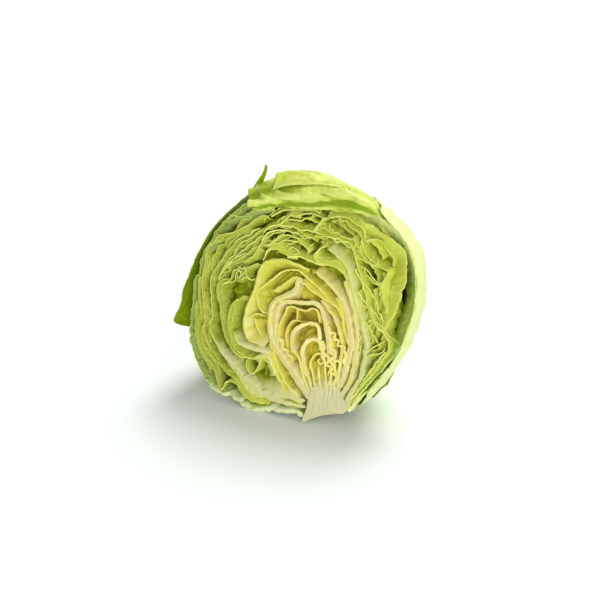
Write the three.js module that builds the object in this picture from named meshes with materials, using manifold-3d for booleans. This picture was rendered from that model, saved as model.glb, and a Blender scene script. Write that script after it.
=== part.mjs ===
// Half of an iceberg lettuce: a head cut lengthwise through its core, standing on its underside
// with the cut face towards the front. Every leaf is a thin solid of its own, nested in its
// neighbours, and all of them spring from the flanks of the core.
//
// Millimetres. +X is to the right along the cut face, +Y is back into the head and +Z is up.
// The origin lies on the floor, inside the flat patch that the head stands on.
//
// A place in the head is given by three numbers: u is the distance to the right on the cut face,
// v the distance up the cut face, and depth the distance behind it.

import * as THREE from 'three';
import Module from 'manifold-3d';

const wasm = await Module();
wasm.setup();

// ---- Driving dimensions ----
const FACE_LEAN = THREE.MathUtils.degToRad(15);   // how far the cut face leans back
const FACE_HEIGHT = 72.8;                         // floor to the middle of the cut face
const FACE_MIDDLE = { u: -1, v: 1 };              // the head's axis of swelling on the face
const WIDEST_DEPTH = 9;                           // the head is widest this far behind the face
const BACK_RADIUS = 68;                           // from the widest depth to the back of the head
const HEART_BACK_RADIUS = 12;                     // the same for the innermost shell
const DEEPEST = 0.86;                             // a leaf ends at this share of its shell's depth
const DOME_POWER = 2.4;                           // 2 makes an ellipsoid, more a fuller head
const CORE_GAP = 0.5;                             // clear space between the core and a wrapper leaf

// The wrapper leaves lie on the head in layers, each from an inner to an outer height above the
// outline's surface.
const LAYER_LOW = [-1.0, 0.0];
const LAYER_MIDDLE = [1.2, 2.2];
const CROWN_HEIGHT = 3.1;                         // inner height of the crown leaf, over both

// Lowest height of a leaf's outer and inner surface where the head is pressed flat underneath.
const FLOOR_OF_BACK_LEAF = [0, 1.1];
const FLOOR_OF_LEAF = [[1.6, 2.7], [3.3, 4.4], [5.0, 6.1]];
const LOWEST_SIDE_MARGIN = 9;                     // the side leaves end this high above the floor

const STEP_ALONG = 9;                             // spacing of the facets along a leaf's section
const STEP_BACK = 13;                             // spacing of the facets into the head
const SEGMENTS_ROUND = 36;                        // facets round a wrapper leaf
const RINGS = 9;                                  // rings of facets from its middle to its margin
const FIRST_RING = 0.04;                          // the innermost ring's share of the way out
const HALVINGS = 30;                              // steps of the search for a leaf's margin

// ---- Colours ----
const COLOURS = {
  outer: 0x7c9b2a,
  crown: 0xa9bd45,
  pale: 0xcbd79a,
  green: 0xb4c25c,
  heart: 0xd9cc62,
  rib: 0xddd3a0,
};

// ---- Outline of the head on the cut face, anticlockwise from the right ----
const OUTLINE = [
  [75, 14], [73.8, 26], [71.5, 36], [67, 45.5], [60, 53.5], [50, 61], [40, 67], [28, 73], [14, 77],
  [0, 78.5], [-14, 76.5], [-28, 71], [-41, 62.5], [-52, 53], [-60.5, 44], [-68, 34], [-73.5, 23],
  [-77.5, 12], [-79.6, 0], [-80, -12], [-79.6, -24], [-78.5, -34], [-76, -43], [-71.5, -51],
  [-65.5, -57.5], [-58, -64], [-50, -69], [-41, -71.5], [-33, -73], [-26, -74], [-17, -73],
  [-8, -71.4], [0, -71], [8, -72], [14, -72.5], [25, -69], [36, -65], [42.5, -59], [48, -52],
  [54, -43.5], [60, -34.5], [66, -24.5], [70.5, -13], [72.6, -3], [74.4, 6],
];

// ---- Sections of the leaves on the cut face, from the stem end to the free edge ----
// thick is the thickness at the stem end and at the free edge, depth is how far the leaf reaches
// behind the face.
const LEAVES = [
  {
    name: 'head_leaf_01', colour: 'pale', thick: [1.4, 1.2], depth: 60, layer: 0,
    section: [
      [10.6, -68.2], [4, -67.6], [-4, -67.8], [-14, -69.2], [-24, -70.6], [-31, -70.4], [-38, -69],
      [-46, -67], [-53.5, -63.4], [-61, -57.6], [-67.4, -51.4], [-72, -44.4], [-75, -36], [-76.6, -26],
      [-77.2, -14], [-76.8, -2], [-75, 8], [-72, 18], [-68, 27.4], [-62.6, 36.4], [-56.4, 44.6],
      [-48.4, 52.6], [-38.6, 60.4], [-26.4, 67.6], [-12, 72.6], [2, 74.6], [16, 72.6], [29, 68.6],
      [41, 62.6], [51.6, 56], [60.6, 48.4], [67, 40.4], [70.4, 30.6], [72.2, 20], [72.2, 10],
      [70.4, 1.6], [68.8, -6], [67, -13.4], [62.8, -22], [57.8, -30.2], [52.2, -38.6], [47.8, -45.6],
      [43.8, -52],
    ],
  },
  {
    name: 'head_leaf_02', colour: 'green', thick: [1.8, 1.1], depth: 56, layer: 1,
    section: [
      [10.6, -63.8], [1, -63.6], [-8, -64.8], [-17, -66.4], [-25, -66.8], [-31, -64.6], [-36.4, -60.8],
      [-41.4, -57.6], [-48, -54.6], [-55.4, -50.2], [-61.6, -43.8], [-66.2, -37.6], [-69, -31],
      [-70.8, -23], [-71.8, -14], [-72, -5], [-71, 4], [-68.6, 13], [-65.4, 21], [-61.4, 27.6],
      [-56.4, 33], [-50.6, 38], [-45, 43.4], [-39.6, 47.8], [-33.4, 50.4], [-26, 52.6], [-19, 55.6],
      [-10, 57.4], [0, 58.6], [10, 60], [20, 60.6], [29, 58.8],
    ],
  },
  {
    name: 'head_leaf_03', colour: 'pale', thick: [3, 1.1], depth: 50, layer: 2,
    section: [
      [-25, -60], [-32.6, -57.4], [-40, -53.8], [-47, -49.8], [-53.5, -45.2], [-58.6, -39.6],
      [-62, -33.4], [-64, -26], [-65, -18], [-65.2, -10], [-64.4, -2], [-62.6, 5.4], [-60, 12.6],
      [-56.8, 19.2], [-52.8, 25.4], [-48, 31.4], [-42.4, 37.8], [-36.6, 43],
    ],
  },
  {
    name: 'head_leaf_04', colour: 'green', thick: [2.4, 1.1], depth: 46,
    section: [
      [-20, -54.8], [-29, -53.2], [-37.6, -49.8], [-45, -45.4], [-50.8, -39.8], [-55, -33.4],
      [-57.8, -26], [-59.6, -17], [-60.8, -8], [-60.2, -1], [-57.8, 5], [-55, 10.6], [-51.6, 16.2],
      [-47.8, 21.6], [-43.8, 26.8], [-39.8, 31.6], [-35.6, 36],
    ],
  },
  {
    name: 'head_leaf_05', colour: 'pale', thick: [2.8, 1.1], depth: 42,
    section: [
      [-6, -53], [-14, -50], [-23, -47], [-32, -44.4], [-40, -40.8], [-45.4, -36.2], [-48.6, -31],
      [-49.8, -25], [-50, -19], [-49.4, -14], [-47.4, -9.8], [-44.2, -6], [-41, -2.6], [-39.4, 2],
      [-38.8, 6.6],
    ],
  },
  {
    name: 'head_leaf_06', colour: 'green', thick: [1.2, 1.1], depth: 26,
    section: [
      [-55, 2], [-52.4, 6], [-50, 10.2], [-47.4, 12.4], [-44.8, 11.6], [-43.2, 9],
    ],
  },
  {
    name: 'head_leaf_07', colour: 'green', thick: [1.2, 1.1], depth: 30,
    section: [
      [-47.6, 17], [-43.6, 18.4], [-40.2, 21.4], [-37.2, 25.4], [-34.4, 29.2],
    ],
  },
  {
    name: 'head_leaf_08', colour: 'green', thick: [2.4, 1.1], depth: 44,
    section: [
      [40.8, -48.6], [44.6, -43.2], [48.8, -37.2], [53, -31], [57, -24.6], [59.8, -18.6], [61, -13.6],
      [58.6, -9.6], [55, -6.8], [51.4, -3.8], [48.2, 0.4], [45, 5.6], [41.8, 11.4], [38.8, 18],
      [36, 25], [33, 31.6], [29, 36.8], [24.4, 39.8], [19, 41], [12, 42.4], [4, 44.2], [-5, 44.8],
      [-14, 44.2], [-22, 42.6], [-28, 40],
    ],
  },
  {
    name: 'head_leaf_09', colour: 'pale', thick: [1.4, 1.1], depth: 46,
    section: [
      [65, -10], [62, -5], [60.6, 1], [61.6, 6.4], [62.8, 12], [63.4, 18], [64.4, 24], [65, 30],
      [64.6, 36], [62.4, 41.6], [57.6, 46.2], [51, 49.4], [45, 52.6], [39.4, 55.2],
    ],
  },
  {
    name: 'head_leaf_10', colour: 'green', thick: [1.3, 1.1], depth: 36,
    section: [
      [56, 7], [54.8, 12.6], [52.6, 17], [51, 21.4], [49.8, 26], [46.6, 29.4], [42.4, 31.6],
      [38.8, 35.6], [36, 40.6], [33.4, 45.6],
    ],
  },
  {
    name: 'head_leaf_11', colour: 'green', thick: [1.3, 1.1], depth: 34,
    section: [
      [34, 50.4], [29.6, 53], [24, 55], [18, 56.2], [12, 55.4], [6.6, 52.6], [2, 49],
    ],
  },
  {
    name: 'head_leaf_12', colour: 'green', thick: [1.3, 1.1], depth: 30,
    section: [[-28, 46.4], [-20, 48.4], [-12, 50.8], [-4, 52.8]],
  },
  {
    name: 'head_leaf_13', colour: 'green', thick: [1.3, 1.1], depth: 32,
    section: [[-31, 34.4], [-25, 37.2], [-18, 39.2], [-11, 38.6], [-5, 36.2], [0, 33.2]],
  },
  {
    name: 'head_leaf_14', colour: 'green', thick: [1.3, 1.1], depth: 28,
    section: [[-29, 28.8], [-22, 28.6], [-16, 29], [-11.6, 32], [-7.4, 31], [-4.4, 28.4]],
  },
  {
    name: 'head_leaf_15', colour: 'pale', thick: [2.2, 1.4], depth: 40,
    section: [
      [37.8, -46.8], [41.4, -41.6], [44.6, -34], [46.8, -26], [46.4, -18], [45, -11], [42.2, -4],
      [38.6, 3], [34.8, 10], [31.6, 17], [28.6, 24], [24.8, 30], [18.8, 33.8], [12, 35.8],
    ],
  },
  {
    name: 'heart_leaf_1', colour: 'heart', thick: [2.6, 1.5], depth: 40,
    section: [
      [-27, -31], [-33, -30], [-36.8, -26], [-38.4, -20.5], [-38.4, -15], [-37.6, -10], [-36.2, -4.6],
      [-34.6, 1.4], [-33, 7], [-31.8, 12], [-30.2, 17], [-27.6, 20.6], [-24.4, 22.8], [-20.4, 24],
      [-15.4, 24.2], [-9.4, 24], [-3, 23.8], [4, 24.8], [11.6, 26], [18, 25.2], [22.4, 22.6],
    ],
  },
  {
    name: 'heart_leaf_2', colour: 'heart', thick: [1.4, 1.2], depth: 32,
    section: [
      [-23, -27], [-26.8, -21], [-29.4, -14], [-30.8, -6], [-30.2, 0.6], [-27.8, 5], [-24.2, 8.4],
      [-20, 11], [-16.8, 14.4], [-13.6, 17.8], [-9.4, 18.6], [-4, 18],
    ],
  },
  {
    name: 'heart_leaf_3', colour: 'rib', thick: [5.6, 1.5], depth: 34,
    section: [
      [12.6, -57.4], [7.6, -51.4], [2.8, -46.4], [-1.4, -42.8], [-5.4, -39], [-9.6, -35],
      [-13.4, -30.4], [-17, -24.6], [-19.4, -18], [-19.8, -12], [-18.6, -6], [-15.2, -1.2],
      [-10.8, 2.4], [-6.8, 6], [-4.8, 10], [-2.6, 13.4], [1, 13], [4.4, 10.4], [7.6, 8],
    ],
  },
  {
    name: 'heart_leaf_4', colour: 'heart', thick: [1.6, 1.3], depth: 26,
    section: [
      [-12.6, -23], [-14.6, -17], [-14.6, -11], [-12.4, -6.4], [-9.6, -3.6], [-5.6, -2.6], [-2, -3.6],
      [2, -3.2], [6, -1.8], [10, -2], [12.8, -4.4], [14, -8.6],
    ],
  },
  {
    name: 'heart_leaf_5', colour: 'heart', thick: [1.5, 1.3], depth: 22,
    section: [
      [-4, -28], [-6, -22], [-5.4, -16], [-2.6, -12.2], [1, -12.6], [5, -12.8], [9, -11.6],
      [12.4, -12.2], [14.2, -15.6],
    ],
  },
  {
    name: 'heart_leaf_6', colour: 'heart', thick: [2, 1.6], depth: 18,
    section: [
      [9.4, -41], [8, -36.6], [6.4, -31.6], [5.6, -27], [6.6, -22.8], [9.4, -20.6], [12.6, -21.2],
      [15, -24], [16.6, -28.4],
    ],
  },
  {
    name: 'heart_leaf_7', colour: 'rib', thick: [6.6, 2.6], depth: 34,
    section: [
      [30.2, -46.6], [32.8, -40], [34.6, -31], [35, -22], [33.8, -13], [30.6, -5], [25.8, 2],
      [19.8, 8], [13, 13], [6, 17],
    ],
  },
  {
    name: 'heart_leaf_8', colour: 'heart', thick: [1.8, 1.8], depth: 24,
    section: [[27, -42], [28.6, -34], [28.8, -25], [27.4, -16], [24, -8], [18.8, -2], [14, 1.4]],
  },
  {
    name: 'heart_leaf_9', colour: 'heart', thick: [1.8, 1.6], depth: 22,
    section: [[22.8, -33], [23.6, -26], [22.6, -18], [19.6, -11]],
  },
  {
    name: 'heart_leaf_10', colour: 'rib', thick: [1.8, 1.8], depth: 36,
    section: [
      [35.4, -46.6], [38.2, -40.6], [40.6, -33], [41.6, -24], [41.4, -15], [39.4, -6.6], [36, 0.4],
      [32, 7], [28.2, 12.6],
    ],
  },
];

// ---- Wrapper leaves on the outside of the head ----
// middle is the direction of the leaf's middle from the head's centre: its turn on the face from
// +u, and its tilt behind the face. reach lists how far the margin lies from the middle, all the
// way round from the back. All of them are degrees.
const FLARE_TURN = THREE.MathUtils.degToRad(198);  // where a loose leaf stands off the most
const FLARE_NARROWNESS = 1.6;
const FLARE_DEPTH = 7;                            // how far behind the face the leaf lies close again
const WRAPPERS = [
  {
    name: 'outer_leaf_right', colour: 'pale', layer: LAYER_LOW, lowest: LOWEST_SIDE_MARGIN,
    middle: [4, 36], reach: [50, 52, 56, 60, 62, 60, 56, 60, 62, 58, 52, 48],
  },
  {
    name: 'outer_leaf_left', colour: 'outer', layer: LAYER_LOW, lowest: LOWEST_SIDE_MARGIN, flare: 7,
    middle: [176, 36], reach: [46, 44, 50, 56, 60, 56, 54, 58, 60, 58, 54, 50],
  },
  {
    name: 'back_leaf', colour: 'pale', layer: LAYER_MIDDLE, floor: FLOOR_OF_BACK_LEAF,
    middle: [-88, 50], reach: [90, 82, 66, 54, 50, 54, 62, 58, 52, 54, 66, 84],
  },
];

// The crown leaf lies over the top of the head and folds down in front of the cut face.
const CROWN = {
  name: 'crown_leaf',
  turn: [53, 127],                                // degrees on the face, from right to left
  lip: [1, 4, 7, 10, 13, 15, 16.5, 15, 9, 3, 1],  // how far the lip hangs down, right to left
  thick: 1.2,
  ringDepths: [52, 38, 24, 10],                   // rings of the part that lies on the head
  narrowest: 0.35,                                // share of those depths at its two ends
  fullness: 0.6,                                  // how soon they reach their full depth
  fold: [                                         // the lip folds over: drop from the cover, and
    { least: 0, share: 0, depth: 1.5 },           // depth in front of the face
    { least: 0.4, share: 0.1, depth: 4.5 },
    { least: 1.2, share: 0.4, depth: 6.5 },
    { least: 2, share: 1, depth: 5.5 },
  ],
  segments: 20,
};

// ---- The core: left and right flank on the face, and how far it swells behind the face ----
const CORE_STATIONS = [
  { left: [12.2, -75], right: [36.5, -65.2], swell: 13 },
  { left: [12.8, -71], right: [39.6, -61], swell: 14.5 },
  { left: [14.2, -65.5], right: [38.2, -57.4], swell: 13 },
  { left: [16.8, -60], right: [33, -53.6], swell: 10 },
  { left: [18.4, -54.6], right: [25.6, -50.6], swell: 6 },
  { left: [18.6, -48], right: [24.4, -45], swell: 5 },
  { left: [17.8, -41], right: [22.4, -39.6], swell: 3.5 },
  { left: [18.2, -37], right: [20.8, -36.4], swell: 2 },
];
const CORE_SEGMENTS = 10;

// ---- Places in the head ----

// World place of a spot on the cut face, at a depth behind it.
function place(u, v, depth) {
  const cos = Math.cos(FACE_LEAN);
  const sin = Math.sin(FACE_LEAN);
  return new THREE.Vector3(u, v * sin + depth * cos, FACE_HEIGHT + v * cos - depth * sin);
}

// A place moved up, where needed, so that it isn't lower than the given height.
function keepAbove(point, height) {
  return point.setZ(Math.max(point.z, height));
}

// Size of a nested shell's section at a depth, where it is 1 on the cut face. nearness is 1 for the
// outside of the head and 0 for its middle: an inner shell closes at a smaller depth.
function swelling(depth, nearness = 1) {
  const backRadius = shellBackRadius(nearness);
  const shrink = (d) => {
    const way = Math.abs((d - WIDEST_DEPTH) / backRadius);
    return (1 - way ** DOME_POWER) ** (1 / DOME_POWER);
  };
  return shrink(depth) / shrink(0);
}

function shellBackRadius(nearness) {
  return THREE.MathUtils.lerp(HEART_BACK_RADIUS, BACK_RADIUS, nearness);
}

// Distance of the outline from the face's middle, in the direction of a turn in radians.
const outlineByTurn = OUTLINE.map(([u, v]) => {
  const du = u - FACE_MIDDLE.u;
  const dv = v - FACE_MIDDLE.v;
  return { turn: (Math.atan2(dv, du) + 2 * Math.PI) % (2 * Math.PI), radius: Math.hypot(du, dv) };
}).sort((a, b) => a.turn - b.turn);

function outlineRadius(turn) {
  const full = 2 * Math.PI;
  const wanted = ((turn % full) + full) % full;
  const next = outlineByTurn.findIndex((p) => p.turn > wanted);
  const high = outlineByTurn[next < 0 ? 0 : next];
  const low = outlineByTurn.at(next < 0 ? -1 : next - 1);
  const span = (high.turn - low.turn + full) % full;
  const along = ((wanted - low.turn + full) % full) / span;
  return THREE.MathUtils.lerp(low.radius, high.radius, along);
}

// ---- Solids ----

// A closed mesh from its vertices and the corners of its triangles, with its faces pointing out.
function closedGeometry(vertices, corners) {
  const geometry = new THREE.BufferGeometry().setFromPoints(vertices);
  let sixVolumes = 0;
  for (let i = 0; i < corners.length; i += 3) {
    const [a, b, c] = [vertices[corners[i]], vertices[corners[i + 1]], vertices[corners[i + 2]]];
    sixVolumes += a.dot(b.clone().cross(c));
  }
  geometry.setIndex(sixVolumes < 0 ? corners.toReversed() : corners);
  return geometry;
}

// A thin solid between two grids of places, outer[i][j] and inner[i][j], closed at its four edges.
function sheetGeometry(outer, inner) {
  const rows = outer.length;
  const columns = outer[0].length;
  const vertices = [...outer.flat(), ...inner.flat()];
  const at = (i, j, side) => side * rows * columns + i * columns + j;
  const corners = [];
  const quad = (a, b, c, d) => corners.push(a, b, c, a, c, d);
  for (let i = 0; i < rows - 1; i++) {
    for (let j = 0; j < columns - 1; j++) {
      quad(at(i, j, 0), at(i + 1, j, 0), at(i + 1, j + 1, 0), at(i, j + 1, 0));
      quad(at(i, j, 1), at(i, j + 1, 1), at(i + 1, j + 1, 1), at(i + 1, j, 1));
    }
  }
  for (let i = 0; i < rows - 1; i++) {
    quad(at(i, 0, 1), at(i + 1, 0, 1), at(i + 1, 0, 0), at(i, 0, 0));
    const end = columns - 1;
    quad(at(i, end, 0), at(i + 1, end, 0), at(i + 1, end, 1), at(i, end, 1));
  }
  for (let j = 0; j < columns - 1; j++) {
    quad(at(0, j, 0), at(0, j + 1, 0), at(0, j + 1, 1), at(0, j, 1));
    quad(at(rows - 1, j, 1), at(rows - 1, j + 1, 1), at(rows - 1, j + 1, 0), at(rows - 1, j, 0));
  }
  return closedGeometry(vertices, corners);
}

// A leaf of the head: its section on the cut face, carried back into the head.
function leafGeometry({ section, thick, depth, layer }) {
  const curve = new THREE.CatmullRomCurve3(section.map(([u, v]) => new THREE.Vector3(u, v, 0)));
  const along = Math.max(3, Math.round(curve.getLength() / STEP_ALONG));
  const back = Math.max(2, Math.round(depth / STEP_BACK));
  const [outerFloor, innerFloor] = FLOOR_OF_LEAF[layer] ?? [0, 0];
  const middle = new THREE.Vector3(FACE_MIDDLE.u, FACE_MIDDLE.v, 0);
  const sides = [[], []];
  for (let i = 0; i <= along; i++) {
    const t = i / along;
    const spot = curve.getPointAt(t);
    const tangent = curve.getTangentAt(t);
    const normal = new THREE.Vector3(-tangent.y, tangent.x, 0);
    const half = THREE.MathUtils.lerp(thick[0], thick[1], Math.sqrt(t)) / 2;
    const ends = [-half, half].map((offset) => spot.clone().addScaledVector(normal, offset));
    ends.sort((a, b) => b.distanceTo(middle) - a.distanceTo(middle));
    const leftOfCurve = ends[0].clone().sub(spot).dot(normal) > 0;
    ends.forEach((end, far) => {
      const side = leftOfCurve ? far : 1 - far;
      const du = end.x - FACE_MIDDLE.u;
      const dv = end.y - FACE_MIDDLE.v;
      const nearness = Math.hypot(du, dv) / outlineRadius(Math.atan2(dv, du));
      const reach = Math.min(depth, WIDEST_DEPTH + DEEPEST * shellBackRadius(nearness));
      const row = [];
      for (let j = 0; j <= back; j++) {
        const d = reach * j / back;
        const u = FACE_MIDDLE.u + swelling(d, nearness) * du;
        const v = FACE_MIDDLE.v + swelling(d, nearness) * dv;
        row.push(keepAbove(place(u, v, d), far === 0 ? outerFloor : innerFloor));
      }
      sides[side].push(row);
    });
  }
  return sheetGeometry(sides[0], sides[1]);
}

// The place on the head in a direction from its centre, raised from its surface by a height.
function onHead(direction, height, flare = 0) {
  const flat = Math.hypot(direction.x, direction.y);
  const turn = Math.atan2(direction.y, direction.x);
  const radius = outlineRadius(turn) * swelling(WIDEST_DEPTH);
  const shares = [flat / radius, Math.abs(direction.z) / BACK_RADIUS];
  const reach = shares.reduce((sum, share) => sum + share ** DOME_POWER, 0) ** (-1 / DOME_POWER);
  const depth = WIDEST_DEPTH + (reach + height) * direction.z;
  const fromPeak = Math.atan2(Math.sin(turn - FLARE_TURN), Math.cos(turn - FLARE_TURN));
  const nearPeak = Math.max(0, Math.cos(Math.min(FLARE_NARROWNESS * Math.abs(fromPeak), Math.PI / 2)));
  const standOff = flare * nearPeak * Math.exp(-Math.max(depth, 0) / FLARE_DEPTH);
  const across = (reach + height) * flat + standOff;
  return {
    u: FACE_MIDDLE.u + across * direction.x / flat,
    v: FACE_MIDDLE.v + across * direction.y / flat,
    depth,
  };
}

// A wrapper leaf: a shell with a free margin, cut off by the cut face where it reaches it.
function wrapperGeometry({ layer, middle, reach, floor = [0, 0], lowest = -Infinity, flare = 0 }) {
  const [turn, tilt] = middle.map(THREE.MathUtils.degToRad);
  const across = new THREE.Vector3(Math.cos(turn), Math.sin(turn), 0);
  const behind = new THREE.Vector3(0, 0, 1);
  const mix = (a, b) => across.clone().multiplyScalar(a).addScaledVector(behind, b);
  const centre = mix(Math.cos(tilt), Math.sin(tilt));
  const backward = mix(-Math.sin(tilt), Math.cos(tilt));
  const sideways = new THREE.Vector3().crossVectors(centre, backward);
  const margin = new THREE.CatmullRomCurve3(reach.map((r, i) => new THREE.Vector3(i, r, 0)), true);
  const surfaces = [layer[1], layer[0]].map((height, side) => {
    const at = (away, heading) => onHead(
      centre.clone().multiplyScalar(Math.cos(away))
        .addScaledVector(backward, Math.sin(away) * Math.cos(heading))
        .addScaledVector(sideways, Math.sin(away) * Math.sin(heading)),
      height,
      flare,
    );
    const rays = [];
    for (let i = 0; i < SEGMENTS_ROUND; i++) {
      const heading = 2 * Math.PI * i / SEGMENTS_ROUND;
      let far = THREE.MathUtils.degToRad(margin.getPoint(i / SEGMENTS_ROUND).y);
      const isPast = (away) => {
        const spot = at(away, heading);
        return spot.depth < 0 || place(spot.u, spot.v, spot.depth).z < lowest;
      };
      if (isPast(far)) {
        let near = 0;
        for (let step = 0; step < HALVINGS; step++) {
          const half = (near + far) / 2;
          [near, far] = isPast(half) ? [near, half] : [half, far];
        }
      }
      const ray = [];
      for (let j = 0; j <= RINGS; j++) {
        const spot = at(far * THREE.MathUtils.lerp(FIRST_RING, 1, j / RINGS), heading);
        ray.push(keepAbove(place(spot.u, spot.v, Math.max(spot.depth, 0)), floor[side]));
      }
      rays.push(ray);
    }
    const tip = at(0, 0);
    return { rays, tip: keepAbove(place(tip.u, tip.v, tip.depth), floor[side]) };
  });
  return discGeometry(surfaces[0], surfaces[1]);
}

// A thin solid between two discs, each a tip in its middle and rays of places out to its margin.
function discGeometry(outer, inner) {
  const round = outer.rays.length;
  const rings = outer.rays[0].length;
  const vertices = [...outer.rays.flat(), outer.tip, ...inner.rays.flat(), inner.tip];
  const perSide = round * rings + 1;
  const at = (i, j, side) => side * perSide + (i % round) * rings + j;
  const corners = [];
  const quad = (a, b, c, d) => corners.push(a, b, c, a, c, d);
  for (let i = 0; i < round; i++) {
    corners.push(perSide - 1, at(i, 0, 0), at(i + 1, 0, 0));
    corners.push(2 * perSide - 1, at(i + 1, 0, 1), at(i, 0, 1));
    for (let j = 0; j < rings - 1; j++) {
      quad(at(i, j, 0), at(i, j + 1, 0), at(i + 1, j + 1, 0), at(i + 1, j, 0));
      quad(at(i, j, 1), at(i + 1, j, 1), at(i + 1, j + 1, 1), at(i, j + 1, 1));
    }
    quad(at(i, rings - 1, 0), at(i, rings - 1, 1), at(i + 1, rings - 1, 1), at(i + 1, rings - 1, 0));
  }
  return closedGeometry(vertices, corners);
}

// The crown leaf: a profile from the back of its cover to the edge of its hanging lip, repeated at
// each turn. A profile point is a distance from the face's middle and a depth.
function crownGeometry() {
  const lips = new THREE.CatmullRomCurve3(CROWN.lip.map((l, i) => new THREE.Vector3(i, l, 0)));
  const outer = [];
  const inner = [];
  for (let i = 0; i <= CROWN.segments; i++) {
    const t = i / CROWN.segments;
    const turn = THREE.MathUtils.degToRad(THREE.MathUtils.lerp(CROWN.turn[0], CROWN.turn[1], t));
    const radius = outlineRadius(turn);
    const lip = lips.getPoint(t).y;
    const spread = THREE.MathUtils.lerp(CROWN.narrowest, 1, Math.sin(Math.PI * t) ** CROWN.fullness);
    const cover = CROWN.ringDepths.map((d) => [swelling(d * spread) * radius, d * spread]);
    const fold = CROWN.fold.map(({ least, share, depth }) => [radius - least - share * lip, -depth]);
    const profile = [...cover, ...fold].map(([r, d]) => new THREE.Vector2(r + CROWN_HEIGHT, d));
    const normals = profile.map((_, k) => {
      const before = profile[Math.max(k - 1, 0)];
      const after = profile[Math.min(k + 1, profile.length - 1)];
      const along = after.clone().sub(before).normalize();
      return new THREE.Vector2(-along.y, along.x);
    });
    const toPlace = ({ x, y }) => {
      return place(FACE_MIDDLE.u + x * Math.cos(turn), FACE_MIDDLE.v + x * Math.sin(turn), y);
    };
    inner.push(profile.map(toPlace));
    outer.push(profile.map((p, k) => toPlace(p.clone().addScaledVector(normals[k], CROWN.thick))));
  }
  return sheetGeometry(outer, inner);
}

// The core: half-round sections from the cut stem end up to its point, grown by a margin.
function coreGeometry(grow = 0) {
  const vertices = [];
  for (const { left, right, swell } of CORE_STATIONS) {
    const middle = [(left[0] + right[0]) / 2, (left[1] + right[1]) / 2];
    const half = [(right[0] - left[0]) / 2, (right[1] - left[1]) / 2];
    const larger = 1 + grow / Math.hypot(...half);
    for (let j = 0; j <= CORE_SEGMENTS; j++) {
      const angle = Math.PI * j / CORE_SEGMENTS;
      const across = Math.cos(angle) * larger;
      const depth = Math.sin(angle) * (swell + grow) - grow;
      const spot = place(middle[0] + across * half[0], middle[1] + across * half[1], depth);
      vertices.push(grow > 0 ? spot : keepAbove(spot, 0));
    }
  }
  const ring = CORE_SEGMENTS + 1;
  const last = (CORE_STATIONS.length - 1) * ring;
  const corners = [];
  for (let k = 0; k < CORE_STATIONS.length - 1; k++) {
    for (let j = 0; j < ring; j++) {
      const a = k * ring + j;
      const b = k * ring + (j + 1) % ring;
      corners.push(a, b, b + ring, a, b + ring, a + ring);
    }
  }
  for (let j = 1; j < ring - 1; j++) {
    corners.push(0, j + 1, j);
    corners.push(last, last + j, last + j + 1);
  }
  return closedGeometry(vertices, corners);
}

// ---- Cutting one solid by another ----

function toManifold(geometry) {
  return new wasm.Manifold(new wasm.Mesh({
    numProp: 3,
    vertProperties: new Float32Array(geometry.attributes.position.array),
    triVerts: new Uint32Array(geometry.index.array),
  }));
}

function fromManifold(solid) {
  const { vertProperties, triVerts } = solid.getMesh();
  const geometry = new THREE.BufferGeometry();
  geometry.setAttribute('position', new THREE.BufferAttribute(vertProperties, 3));
  geometry.setIndex(new THREE.BufferAttribute(triVerts, 1));
  return geometry;
}

// ---- The head ----

const head = new THREE.Group();

function addMesh(name, geometry, colour, roughness = 0.5) {
  const material = new THREE.MeshStandardMaterial({ color: COLOURS[colour], roughness, metalness: 0 });
  const mesh = new THREE.Mesh(geometry, material);
  mesh.name = name;
  head.add(mesh);
}

addMesh('core', coreGeometry(), 'rib', 0.45);
for (const leaf of LEAVES) {
  addMesh(leaf.name, leafGeometry(leaf), leaf.colour);
}
const coreSpace = toManifold(coreGeometry(CORE_GAP));
for (const wrapper of WRAPPERS) {
  const shell = toManifold(wrapperGeometry(wrapper));
  addMesh(wrapper.name, fromManifold(shell.subtract(coreSpace)), wrapper.colour);
}
addMesh(CROWN.name, crownGeometry(), 'crown');

export default head;
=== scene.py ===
"""Half of an iceberg lettuce, standing on its underside with the cut face forward.

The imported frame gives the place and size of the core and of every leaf. This file gives each of them
its crinkled form and its finish: thin leaves that end in pale cut edges, a cream core, veined wrapper
leaves and a folded crown leaf.

A place in the head is (u, v, depth) in millimetres: u to the right and v up on the cut face, depth
behind it.
"""

import logging
import math
from collections.abc import Sequence
from dataclasses import dataclass, field
from enum import Enum

import bpy
import numpy as np
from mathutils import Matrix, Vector


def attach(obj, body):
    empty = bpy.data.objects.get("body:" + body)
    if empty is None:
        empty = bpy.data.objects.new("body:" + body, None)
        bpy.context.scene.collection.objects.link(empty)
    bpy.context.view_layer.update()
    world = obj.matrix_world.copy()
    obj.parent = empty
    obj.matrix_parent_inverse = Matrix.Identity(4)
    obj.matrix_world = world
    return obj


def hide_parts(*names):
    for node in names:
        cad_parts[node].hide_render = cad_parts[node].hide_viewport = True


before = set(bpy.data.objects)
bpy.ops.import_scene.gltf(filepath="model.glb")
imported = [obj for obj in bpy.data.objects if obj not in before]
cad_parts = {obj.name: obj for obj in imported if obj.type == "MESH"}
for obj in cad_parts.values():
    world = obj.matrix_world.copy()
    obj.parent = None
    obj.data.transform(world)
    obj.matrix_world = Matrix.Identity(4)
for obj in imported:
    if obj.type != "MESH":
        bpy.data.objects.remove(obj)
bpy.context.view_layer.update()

LOG = logging.getLogger("lettuce")
MM = 0.001
BODY = "root"

Point = tuple[float, float]
Colour = tuple[float, float, float]


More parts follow.
